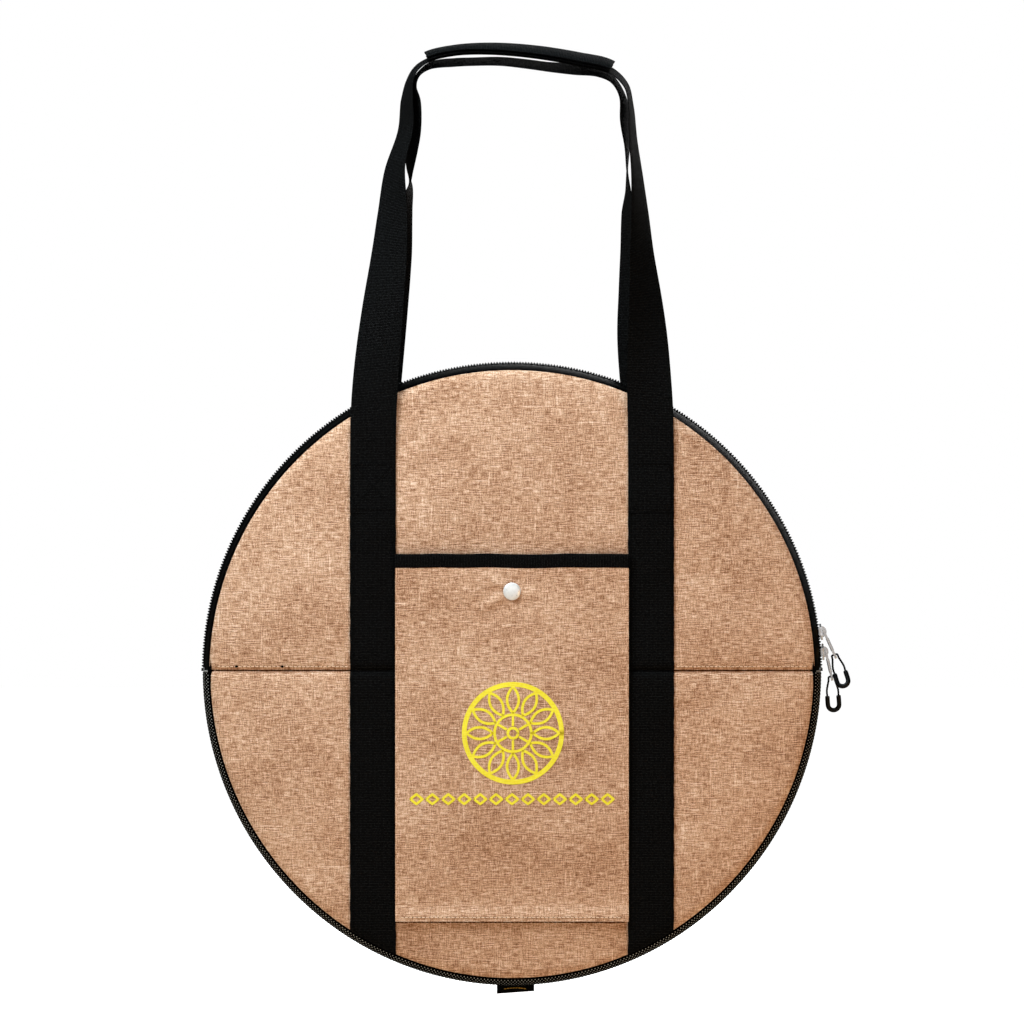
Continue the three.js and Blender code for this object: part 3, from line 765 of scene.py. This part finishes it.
# ---- Handles. Rows of x, y, z, turn and roll, as in the CAD: turn is the direction across the webbing in
# degrees, 0 for +X and -90 for -Y, and roll tips its front edge down.
FRONT_HANDLE = [
    (-121, -63.5, 184.5, 0, 0), (-120.5, -63, 225, -2, 0), (-118, -61, 265, -10, 0),
    (-113, -56, 315, -24, 0), (-107, -50, 367, -39, 0), (-104.5, -45, 402, -48, 0),
    (-102.5, -40, 440, -64, 0), (-93.3, -36, 475, -70, 0), (-92.2, -33, 502, -74, 0),
    (-89.9, -32, 516.8, -81, 7), (-84.3, -32, 527.8, -86, 11), (-73.5, -32, 535.6, -90, 10),
    (-50, -32, 541.2, -90, 8.5), (-18, -32, 542.7, -90, 11), (20, -32, 539.9, -90, 13),
    (58, -32, 533.7, -90, 14), (86, -32, 526.8, -90, 15), (99.5, -32, 514, -96, 11),
    (104.1, -33, 496, -97, 3), (106.1, -35, 466, -102, 0), (109.4, -39, 436, -105, 0),
    (111.9, -44, 402, -113, 0), (113.5, -50, 367, -122, 0), (116, -55, 333, -134, 0),
    (118, -58, 298, -148, 0), (119, -61, 263, -164, 0), (120.5, -63, 225, -177, 0),
    (121, -63.5, 184.5, -180, 0),
]
BACK_HANDLE = [
    (-121, -0.5, 184.5, -180, 0), (-119.8, -1.2, 225, -177, 0), (-116, -4, 265, -168, 0),
    (-109.6, -10, 315, -152, 0), (-101.5, -13, 367, -131, 0), (-96, -17, 402, -114, 0),
    (-90, -20.5, 425, -94, 0), (-89.8, -23.5, 440, -80, 0), (-88.6, -26, 457, -72, 0),
    (-86.8, -29, 475, -68, 0), (-86.3, -32, 498, -69, 0), (-87.2, -32, 510.5, -79, 4),
    (-82.4, -32, 522.6, -88, 9), (-71, -32, 531, -90, 15), (-50, -32, 533.7, -90, 16),
    (-36, -32, 534.3, -90, 15), (-10, -32, 534.6, -90, 16), (14, -32, 532.2, -90, 17),
    (32, -32, 529.8, -90, 17), (54, -32, 527.8, -90, 20), (74, -32, 525.8, -90, 19),
    (88, -32, 518.5, -93, 14), (96.8, -32, 504, -99, 6), (98.9, -31, 482, -105, 0),
    (100.9, -29, 460, -97, 0), (101, -27, 440, -92, 0), (102.2, -23.5, 420, -84, 0),
    (102.2, -20, 402, -76, 0), (105.7, -15, 367, -60, 0), (108.3, -10, 333, -45, 0),
    (110.2, -6, 298, -30, 0), (114, -3.5, 263, -12, 0), (118, -1.4, 225, -4, 0), (121, -0.5, 184.5, 0, 0),
]
GRIP_ROWS = (11, 16)  # the wrap covers the front handle between these rows


def spline(rows, places):
    """Points of a centripetal Catmull-Rom curve through rows, at places counted in rows."""
    p = np.asarray(rows, float)
    p = np.vstack([2 * p[0] - p[1], p, 2 * p[-1] - p[-2]])
    found = []
    for place in places:
        i = min(int(place), len(rows) - 2)
        a, b, c, d = p[i:i + 4]
        gaps = [max(np.linalg.norm(v[:3]) ** 0.5, 1e-6) for v in (b - a, c - b, d - c)]
        m1 = ((b - a) / gaps[0] - (c - a) / (gaps[0] + gaps[1]) + (c - b) / gaps[1]) * gaps[1]
        m2 = ((c - b) / gaps[1] - (d - b) / (gaps[1] + gaps[2]) + (d - c) / gaps[2]) * gaps[1]
        t = place - i
        found.append((2 * t**3 - 3 * t**2 + 1) * b + (t**3 - 2 * t**2 + t) * m1
                     + (3 * t**2 - 2 * t**3) * c + (t**3 - t**2) * m2)
    return np.array(found)


def handle_frames(rows, places):
    """Centre, across and face directions of the handle webbing."""
    path = spline([r[:3] for r in rows], places)
    along = unit(np.gradient(path, axis=0))
    index = np.arange(len(rows))
    rolls = [np.interp(places, index, [math.radians(r[k]) for r in rows]) for k in (3, 4)]
    kernel = np.hanning(23)[1:-1]
    kernel /= kernel.sum()
    turn, roll = (smoothed(v, kernel) for v in rolls)
    side = np.stack([np.cos(turn), np.sin(turn), -np.sin(roll)], -1)
    side = unit(side - along * np.sum(side * along, axis=1, keepdims=True))
    return path, side, np.cross(along, side)


def patch_ends(x, face):
    """The straight length of handle webbing sewn on the strap, from the patch's foot up to the handle."""
    level = np.arange(PATCH_LOW - 2.0, HANDLE_Z - 1, 3.0)
    x = np.full_like(level, x)
    return stack(x, panel_y(face, x, level) + face * (0.45 + STRAP_T / 2), level)


def handle(name, rows, face, node):
    """A handle with the two short lengths that are sewn down on the panel."""
    places = np.linspace(0, len(rows) - 1, 12 * (len(rows) - 1) + 1)
    path, side, out = handle_frames(rows, places)
    foot = patch_ends(rows[0][0], face)
    tail = patch_ends(rows[-1][0], face)[::-1]
    blend_in = 8
    path[:blend_in] += (foot[-1] + (0, 0, 3) - path[0]) * np.linspace(1, 0, blend_in)[:, None] * (0, 1, 0)
    path[-blend_in:] += (tail[0] + (0, 0, 3) - path[-1]) * np.linspace(0, 1, blend_in)[:, None] * (0, 1, 0)
    centre = np.vstack([foot, path, tail])
    side, out = (np.pad(v, ((len(foot), len(tail)), (0, 0)), mode="edge") for v in (side, out))
    obj = band(name, centre, side, out, STRAP_W, STRAP_T)
    attach(obj, "webbing", lambda web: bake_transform(web), node)


def handles():
    handle("handle_web_front", FRONT_HANDLE, -1, "handle_front")
    handle("handle_web_back", BACK_HANDLE, 1, "handle_back")


def grip_layer(name, node, body, width, thickness, lift, cup=0.0):
    """One layer of the wrap, on the upper side of the front handle. The narrow layers are its tapes."""
    tape = width < STRAP_W
    inset = 0.25 if tape else 0.0
    places = np.linspace(GRIP_ROWS[0] + inset, GRIP_ROWS[1] - inset, 81)
    path, side, out = handle_frames(FRONT_HANDLE, places)
    obj = band(name, path - out * lift, side, -out, width, thickness, LINING if tape else WEBBING, cup)
    attach(obj, "lining" if tape else "webbing", body, node)


def grip_wrap():
    grip_layer("wrap_pad", "grip_pad", "front_handle", 44, 2.3, 2.1)
    grip_layer("wrap_loop_tape", "grip_loop_tape", "front_handle", 20, 0.8, 3.75)
    grip_layer("wrap_hook_tape", "grip_hook_tape", "grip_wrap", 20, 0.8, 4.7)
    grip_layer("wrap_flap", "grip_flap", "grip_wrap", 44, 2.2, 6.35, 1.7)


# ---- The pocket
def pocket_lift(z):
    """Room under the pocket's cloth, which is doubled at its hem."""
    hem = 1.9 * (1 - ease((z - POCKET_FOOT - 5) / 9))
    return 0.5 + hem + (POCKET_LIFT - 0.5) * ease((z - POCKET_FOOT) / 110)


def pucker(x, z):
    """Creases that run out from the press stud: each has a direction in degrees, a length and a width."""
    dx, dz = x, z - STUD_Z
    total = 0.0
    for degrees, length, width in ((211, 34, 4.6), (-9, 22, 6.0), (151, 20, 4.2), (262, 16, 5.0)):
        turn = math.radians(degrees)
        along = dx * math.cos(turn) + dz * math.sin(turn)
        off = dz * math.cos(turn) - dx * math.sin(turn)
        ridge = np.exp(-((off / width) ** 2)) - 0.4 * np.exp(-((off / (2.2 * width)) ** 2))
        total = total + ridge * ease((along - 5) / 6) * np.exp(-((along / length) ** 2))
    return total


def pocket_y(x, z):
    """The pocket's face: bowed a little, pulled in round the press stud."""
    edge = 1 - np.clip(np.abs(x) / POCKET_HALF, 0, 1) ** 6
    lift = pocket_lift(z)
    waves = 0.45 * ripples(x, z, 51, 110) + 0.24 * ripples(x, z, 52, 38)
    waves = waves * edge * ease((z - POCKET_FOOT) / 40)
    dent = 1.9 * np.exp(-((np.hypot(x, z - STUD_Z) / 11) ** 2))
    bow = 2.5 * np.exp(-(((z + 45) / 75) ** 2)) * edge
    base = MID_Y - (HALF - 0.6)
    return base - lift - CLOTH_T - waves + dent - 3.6 * pucker(x, z) * edge - bow


def open_with_mouth(obj):
    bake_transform(obj)
    x, _, z = vertex_places(obj)


def pocket():
    x = np.linspace(-POCKET_HALF, POCKET_HALF, 91)
    for name, low, high, follow in (("lower", POCKET_FOOT, SPLIT_Z, fold),
                                    ("upper", SPLIT_Z, MOUTH_Z - 3, open_with_mouth)):
        z = np.linspace(low, high, int((high - low) / 1.8))
        gx, gz = np.meshgrid(x, z)
        points = sag(stack(gx, pocket_y(gx, gz), gz))
        obj = sheet("pocket_cloth_" + name, points, CLOTH_T, FRONT, CANVAS, cloth_uv(gx, gz) + POCKET_WEAVE)
        attach(obj, "canvas", follow, "pocket_panel_" + name)


def pocket_binding():
    """Black tape folded over the pocket's mouth."""
    x = np.linspace(-POCKET_HALF, POCKET_HALF, 121)
    turn = np.linspace(0, 2 * math.pi, 25)
    half, thick = 6.2, 1.5
    cy = pocket_y(x, np.full_like(x, MOUTH_Z - 7)) + 0.9
    wob = 0.25 * ripples(x, x * 0, 61, 60)
    dy = -thick * squared(np.cos(turn), 0.6)
    dz = half * squared(np.sin(turn), 0.35)
    points = stack(x[:, None], cy[:, None] + dy[None, :], MOUTH_Z - 0.6 + wob[:, None] + dz[None, :])
    uv = cloth_uv(dz[None, :], x[:, None]).reshape(-1, 2) * MM
    obj = tube_mesh("pocket_mouth_tape", points, WEBBING, uv)
    attach(obj, "webbing", open_with_mouth, "pocket_binding")


def lathe(name, profile, centre_z, material, segments=64):
    """A profile of (radius, y) turned about an axis along Y through the press stud's place."""
    turn = np.linspace(0, 2 * math.pi, segments + 1)
    r, y = np.array(profile, float).T
    points = stack(np.outer(r, np.cos(turn)), y[:, None], centre_z + np.outer(r, np.sin(turn)))
    return tube_mesh(name, points, material, sharp=45, capped=False)


def press_stud():
    low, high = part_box("stud_cap")
    front, back = low[1] / MM, high[1] / MM
    radius = (high[0] - low[0]) / 2 / MM
    quarter = np.linspace(0, math.pi / 2, 9)
    dome = [(radius * math.sin(a), front + 1.5 * (1 - math.cos(a)) ** 1.2) for a in quarter]
    rim = [(radius + 0.1, front + 2.1), (radius - 0.3, front + 2.6), (radius - 1.2, front + 2.7),
           (1.5, front + 2.6), (1.5, back), (0, back)]
    obj = lathe("stud_cap_dome", dome + rim, STUD_Z, BRIGHT_CAP)
    attach(obj, "plated_metal", "pocket_mouth", "stud_cap")


# ---- Printed roundel and dashes, of a plain design
def stroke(points, width, closed=False):
    """A line drawn on the pocket: (rows, 3, 2) grid of its two edges and middle."""
    p = np.asarray(points, float)
    ahead = np.roll(p, -1, 0) if closed else np.vstack([p[1:], p[-1:] * 2 - p[-2:-1]])
    behind = np.roll(p, 1, 0) if closed else np.vstack([p[:1] * 2 - p[1:2], p[:-1]])
    along = unit(ahead - behind)
    reach = np.stack([-along[:, 1], along[:, 0]], -1) * width / 2
    grid = np.stack([p + reach, p, p - reach], 1)
    return np.concatenate([grid, grid[:1]]) if closed else grid


def ring_points(x, z, radius, count=96):
    turn = np.arange(count) * 2 * math.pi / count
    return np.stack([x + radius * np.cos(turn), z + radius * np.sin(turn)], -1)


def roundel(x, z, radius):
    """A plain sun wheel: an outer ring, twelve petals, an inner ring and a hub."""
    lines = [stroke(ring_points(x, z, radius - 2.1), 4.2, True),
             stroke(ring_points(x, z, radius * 0.36), 2.4, True),
             stroke(ring_points(x, z, radius * 0.1, 32), 2.4, True)]
    inner, outer = radius * 0.4, radius * 0.9
    for k in range(12):
        turn = k * math.pi / 6
        along = np.array([math.cos(turn), math.sin(turn)])
        across = np.array([-along[1], along[0]])
        t = np.linspace(0, 1, 24)
        bow = np.sin(math.pi * t) ** 0.8 * radius * 0.115
        reach = inner + (outer - inner) * t
        there = np.array([x, z]) + reach[:, None] * along
        loop = np.vstack([there + bow[:, None] * across, (there - bow[:, None] * across)[::-1][1:-1]])
        lines.append(stroke(loop, 2.3, True))
    for k in range(6):
        turn = (k + 0.5) * math.pi / 3
        at = np.array([math.cos(turn), math.sin(turn)])
        start, end = (np.array([x, z]) + at * radius * share for share in (0.14, 0.33))
        lines.append(stroke(np.linspace(start, end, 6), 2.2))
    return lines


def dashes(z, half_width, height):
    """A chain of plain lozenges."""
    count = 13
    pitch = 2 * half_width / count
    lines = []
    for k in range(count):
        x = -half_width + pitch * (k + 0.5)
        wide, tall = pitch / 2 - 1.6, height / 2 - 1.1
        corners = np.array([(x - wide, z), (x, z + tall), (x + wide, z), (x, z - tall), (x - wide, z)])
        loop = np.vstack([np.linspace(a, b, 7)[:-1] for a, b in zip(corners[:-1], corners[1:])])
        lines.append(stroke(loop, 2.2, True))
    return lines


def printed_design():
    meshes = []
    for k, grid in enumerate(roundel(0.8, -52.0, 44.4) + dashes(-109.0, 90, 10.6)):
        x, z = grid[..., 0], grid[..., 1]
        y = pocket_y(x, z)
        outer = sag(stack(x, y - 0.26 - 0.0015 * (k % 40), z))
        inner = sag(stack(x, y - 0.02, z))
        meshes.append(slab(f"print_{k}", outer, inner, INK, cloth_uv(x, z) + POCKET_WEAVE))
    attach(join(meshes, "printed_roundel"), "canvas", fold)


def join(objects, name):
    """Several objects as one."""
    bm = bmesh.new()
    for obj in objects:
        bm.from_mesh(obj.data)
    first = objects[0]
    bm.to_mesh(first.data)
    bm.free()
    for obj in objects[1:]:
        bpy.data.objects.remove(obj)
    first.name = name
    return first


# ---- Stitching
def row_on_front(x, z):
    x, z = np.broadcast_arrays(np.asarray(x, float), np.asarray(z, float))
    return sag(stack(x, front_y(x, z) - 0.15, z))


def seam_stitches():
    """Tan topstitching above the middle seam and along the pocket's foot, with painted shade in the needle
    holes: short dark brown stitches between the tan ones.
    """
    outer = math.sqrt(PANEL_R ** 2 - 25) - 4
    inner = STRAP_X + STRAP_W / 2 + 1
    seam = [row_on_front(sign * np.linspace(inner, outer, 60), SEAM_Z + 3.3) for sign in (-1, 1)]
    foot = np.linspace(-98, 98, 60)
    hem = [sag(stack(foot, pocket_y(foot, foot * 0 + POCKET_FOOT + 3.4) - 0.2, POCKET_FOOT + 3.4))]
    for name, rows, radius, follow in (("seam", seam, 0.4, fold), ("pocket_foot", hem, 0.5, "bag")):
        thread = stitches(f"{name}_topstitch", rows, TAN_THREAD, radius)
        # short dark brown stitches between the tan ones: painted shade in the needle holes
        holes = stitches(f"{name}_needle_hole_shade", rows, PAINTED_SHADE_BROWN, radius, 0.6, 3.7, 3.95)
        for obj in (thread, holes):
            attach(obj, "canvas", follow)


def pocket_foot_shade_line():
    """Painted shade under the pocket's hem: a row of long dark brown stitches that draws the dark line along
    the pocket's foot on the panel.
    """
    x = np.linspace(-POCKET_HALF, POCKET_HALF, 80)
    row = row_on_front(x, POCKET_FOOT - 0.7)
    attach(stitches("pocket_foot_shade_line", [row], PAINTED_SHADE_BROWN, 0.75, 3.9, 3.7, 0.0), "canvas", "bag")


def thread_ends():
    """Two black ends of thread left in the middle seam."""
    rows = [row_on_front(np.linspace(x - 1.3, x + 1.3, 6), SEAM_Z + 3.4) + (0, -0.6, 0) for x in (-240, -200)]
    attach(stitches("seam_thread_ends", rows, BLACK_THREAD, 1.05, 2.5, 9, 0.1), "canvas", fold)


def strap_surface(face, x, z):
    return panel_y(face, np.asarray(x, float), np.asarray(z, float)) + face * (0.5 + STRAP_T)


def patch_rows(face, x):
    """A stitched box with a cross in it."""
    half = STRAP_W / 2 - 2.6
    low, high = PATCH_LOW + 1.5, PATCH_HIGH
    corners = [(x - half, low), (x + half, low), (x + half, high), (x - half, high)]
    rows = []
    for start, end in ((0, 1), (1, 2), (2, 3), (3, 0), (0, 2), (1, 3)):
        p = np.linspace(corners[start], corners[end], 20)
        y = np.interp(p[:, 1], [low, high], strap_surface(face, [x, x], [low, high]))
        rows.append(stack(p[:, 0], y + face * 0.1, p[:, 1]))
    return rows


def strap_stitches():
    edge = STRAP_W / 2 - 2.4
    for name, sign in SIDES:
        x = sign * STRAP_X
        attach(stitches(f"patch_stitch_{name}", patch_rows(-1, x), BLACK_THREAD), "webbing", "front_flap")
        attach(stitches(f"patch_stitch_back_{name}", patch_rows(1, x), BLACK_THREAD), "webbing", "bag")
        level = np.linspace(-228, PATCH_LOW, 90)
        y = strap_surface(-1, x + level * 0, level) + 0.05
        rows = [sag(stack(x + offset, y, level)) for offset in (-edge, edge)]
        attach(stitches(f"strap_edge_stitch_{name}", rows, BLACK_THREAD, 0.36), "webbing", fold)


def bartacks():
    """Pale thread bars that close the two ends of the zip."""
    rows = []
    for turn in (0.004, math.pi - 0.004):
        y = np.linspace(MID_Y - 22, MID_Y - 6, 12)
        r = wall_radius(y) + 0.5
        for step in (-0.0016, 0.0016):
            rows.append(stack(r * math.cos(turn + step), y, r * math.sin(turn + step)))
    attach(stitches("zip_end_bartack", rows, PALE_THREAD, 0.5, 3.4, 3.6), "zip_tape", "bag")


# ---- Zip pulls: a cord loop with a rubber sleeve hangs from each metal tab
PULLS = {"upper": (7.4, 17, -8, -19), "lower": (3.7, 9, -8, 8)}  # station, swing, hang and lean, in degrees
PIVOT_R = RIM_R + 5.9
TAB_HOLE = 22.3


def tab_frame(place):
    """Where a tab hangs: its pivot is the origin, -Z runs down it and X is its flat face."""
    at, swing, _, _ = (math.radians(v) for v in PULLS[place])
    station = Matrix.Translation((0, MID_Y, 0)) @ Matrix.Rotation(-at, 4, "Y")
    return station @ Matrix.Translation((PIVOT_R, 0, 0)) @ Matrix.Rotation(-swing, 4, "Y")


def loop_frame(place):
    _, _, hang, lean = (math.radians(v) for v in PULLS[place])
    turned = Matrix.Rotation(-hang, 4, "Y") @ Matrix.Rotation(lean, 4, "X")
    return tab_frame(place) @ Matrix.Translation((0, 0, -TAB_HOLE)) @ turned


def placed(points, matrix):
    turned = np.array(matrix)
    return np.asarray(points) @ turned[:3, :3].T + turned[:3, 3]


def flat_path(rows, count, closed=False):
    """A smooth path in the XZ plane."""
    rows = [(x, 0.0, z) for x, z in rows]
    if closed:
        rows = [rows[-1]] + rows + rows[:2]
        return spline(rows, np.linspace(1, len(rows) - 2, count, endpoint=False))
    return spline(rows, np.linspace(0, len(rows) - 1, count))


def tube(name, path, radius, matrix, material, closed=False, ring=14):
    """A round section along a path in the XZ plane; radius is a function of distance run and turn."""
    ahead = np.roll(path, -1, 0) - np.roll(path, 1, 0) if closed else np.gradient(path, axis=0)
    side = np.cross(unit(ahead), BACK)
    run = np.concatenate([[0], np.cumsum(np.linalg.norm(np.diff(path, axis=0), axis=1))])[:, None]
    turn = np.linspace(0, 2 * math.pi, ring + 1)[None, :-1]
    r = radius(run, turn)
    across = (r * np.cos(turn))[..., None] * side[:, None]
    points = path[:, None] + across + (r * np.sin(turn))[..., None] * BACK
    index = np.arange(len(path) * ring).reshape(len(path), ring)
    index = np.vstack([index, index[:1]]) if closed else index
    index = np.hstack([index, index[:, :1]])
    faces = quads(index).tolist()
    if not closed:
        faces += [index[0, :-1].tolist(), index[-1, :-1].tolist()[::-1]]
    return finish_mesh(name, placed(points.reshape(-1, 3), matrix), faces, material, None, 60)


def zip_pulls():
    half, bottom = 4.9, -30.0
    foot = [(half * math.cos(a), bottom + half - half * math.sin(a)) for a in np.linspace(0, math.pi, 9)]
    leg = [(2.4, -0.6), (2.8, -3.5), (half, -12), (half, -18)]
    cord = flat_path([(0, 0)] + leg + foot + [(-x, z) for x, z in leg[::-1]], 180, True)
    sleeve = flat_path([(half, -17)] + foot + [(-half, -17)], 90)
    length = np.linalg.norm(np.diff(sleeve, axis=0), axis=1).sum()
    strands = lambda run, turn: 0.85 * (1 + 0.1 * np.cos(3 * turn - run * 2.6))
    rubber = lambda run, turn: 2.05 - 0.35 * np.exp(-np.minimum(run, length - run) / 0.25) + 0 * turn
    for place in PULLS:
        matrix = loop_frame(place)
        obj = tube(f"pull_string_{place}", cord, strands, matrix, NYLON, True)
        attach(obj, "nylon", f"{place}_loop", f"pull_cord_{place}")
        obj = tube(f"pull_grip_{place}", sleeve, rubber, matrix, RUBBER, False, 20)
        attach(obj, "rubber", f"{place}_loop", f"pull_sleeve_{place}")
        tab_insert(place)


def tab_insert(place):
    """Black rubber set into both faces of the metal tab."""
    middle = -12.6
    turn = np.linspace(0, 2 * math.pi, 41)
    y, z = 2.3 * squared(np.cos(turn), 0.5), 6.0 * squared(np.sin(turn), 0.4)
    sections = [(1.15, 0.8), (1.25, 0.9), (1.25, 1.0), (-1.25, 1.0), (-1.25, 0.9), (-1.15, 0.8)]
    points = placed(np.stack([stack(x, y * k, middle + z * k) for x, k in sections]), tab_frame(place))
    attach(tube_mesh(f"tab_insert_{place}", points, RUBBER, sharp=38), "rubber", f"{place}_tab")


# ---- Label tab
def label_tab():
    low, high = (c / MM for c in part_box("label_tab"))
    x = np.linspace(low[0], high[0], 33)
    z = np.linspace(low[2], high[2], 21)
    gx, gz = np.meshgrid(x, z)
    loose = ease((high[2] - gz) / 20)
    y = (low[1] + high[1]) / 2 + 0.5 * np.sin(gx / 7) * loose
    slant = (gx - low[0]) / 32 * 2.2 * loose
    obj = sheet("label_cloth", stack(gx, y, gz + slant), 0.8, FRONT, WEBBING, cloth_uv(gx, gz))
    attach(obj, "webbing", "bag", "label_tab")
    arc = np.linspace(0.15, 0.85, 12)
    row = stack(low[0] + 33 * arc, low[1] - 0.25, -281.2 + 2.4 * np.sin(math.pi * arc))
    attach(stitches("label_stripe", [row], GOLD_THREAD, 0.5, 2.4, 2.5), "webbing", "bag")


# ---- CAD nodes that keep their shape and get a better finish
def dress(node, material, bevel):
    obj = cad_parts[node]
    obj.data.materials.clear()
    obj.data.materials.append(material)
    made = obj.modifiers.new("soft_edges", "BEVEL")
    made.width = bevel * MM
    made.segments = 3
    made.limit_method = "ANGLE"
    made.angle_limit = math.radians(35)
    obj.data.shade_smooth()
    obj.data.set_sharp_from_angle(angle=math.radians(40))


def dress_nodes():
    for place in PULLS:
        dress(f"slider_{place}", PLATED, 0.35)
        dress(f"pull_tab_{place}", PLATED, 0.3)
    for node in ("stud_rivet", "stud_ball", "stud_socket"):
        dress(node, PLATED, 0.12)
    for node in ("zip_stop_right", "zip_stop_left"):
        dress(node, BLACKENED, 0.3)


# ---- Stage, light and camera
def stage():
    """A pale floor, as white to the camera as the studio round it."""
    reach, floor_z = 9.0, -0.292
    corners = [(-reach, -reach), (reach, -reach), (reach, reach), (-reach, reach)]
    mesh = bpy.data.meshes.new("floor")
    mesh.from_pydata([(x, y, floor_z) for x, y in corners], [], [(0, 1, 2, 3)])
    shader = Shader("floor")
    seen = shader.node("LightPath").outputs["Is Camera Ray"]
    glow = shader.math("MULTIPLY_ADD", seen, 0.91, 0.06)
    tone = shader.mix(seen, (0.66, 0.5, 0.36, 1), grey(0.9))
    shader.set(Base_Color=tone, Roughness=0.9, Emission_Color=(1, 1, 1, 1), Emission_Strength=glow)
    mesh.materials.append(shader.material)
    floor = bpy.data.objects.new("floor", mesh)
    bpy.context.scene.collection.objects.link(floor)


def area_light(name, place, target, size, power, colour=(1, 1, 1)):
    data = bpy.data.lights.new(name, "AREA")
    data.shape = "RECTANGLE"
    data.size, data.size_y = size
    data.energy = power
    data.color = colour
    obj = bpy.data.objects.new(name, data)
    obj.location = place
    obj.rotation_euler = (Vector(target) - Vector(place)).to_track_quat("-Z", "Y").to_euler()
    obj.visible_camera = False
    bpy.context.scene.collection.objects.link(obj)
    return obj


def lights():
    world = bpy.data.worlds.new("studio")
    world.use_nodes = True
    tree = world.node_tree
    background = tree.nodes["Background"]
    background.inputs["Color"].default_value = (1, 1, 1, 1)
    strength = tree.nodes.new("ShaderNodeMapRange")
    strength.inputs["To Min"].default_value = 0.09
    tree.links.new(tree.nodes.new("ShaderNodeLightPath").outputs["Is Camera Ray"], strength.inputs["Value"])
    tree.links.new(strength.outputs["Result"], background.inputs["Strength"])
    bpy.context.scene.world = world
    middle = (0, -0.03, 0.0)
    area_light("key", (-0.75, -0.78, 1.0), (-0.1, -0.03, 0.12), (0.6, 0.6), 14.6, (0.84, 0.94, 1.0))
    area_light("warm_fill", (1.15, -1.4, -0.1), middle, (0.8, 0.45), 5.5, (1.0, 0.5, 0.14))
    area_light("top", (-0.15, -0.5, 1.75), (0, -0.05, 0.2), (1.1, 0.7), 36, (0.76, 0.92, 1.0))
    card = area_light("reflection_card", (0, -3.0, 0.6), middle, (2.0, 1.2), 10)
    card.visible_diffuse = False
    area_light("rear", (0.5, 1.7, 0.9), middle, (1.4, 1.0), 26)


def camera():
    """Level with the middle of the whole object, and far off, so that it shows little perspective."""
    away = 5.0
    width = 0.891  # seen across the frame at the bag's front
    sensor = 36.0
    data = bpy.data.cameras.new("camera")
    data.sensor_width = sensor
    data.lens = sensor * away / width
    data.clip_end = 50
    obj = bpy.data.objects.new("camera", data)
    obj.location = (0, -0.064 - away, 0.14)
    obj.rotation_euler = (math.pi / 2, 0, 0)
    bpy.context.scene.collection.objects.link(obj)
    bpy.context.scene.camera = obj


BUILD = (front_panels, seam_groove_shade, back_panel, foam_pads, linings, seam_bindings, side_wall, zip_coils,
         straps, handles, grip_wrap, pocket, pocket_binding, press_stud, printed_design, seam_stitches,
         pocket_foot_shade_line, thread_ends, strap_stitches, bartacks, zip_pulls, label_tab, dress_nodes,
         stage, lights, camera)
for build in BUILD:
    build()
bpy.context.scene.view_settings.view_transform = "Standard"
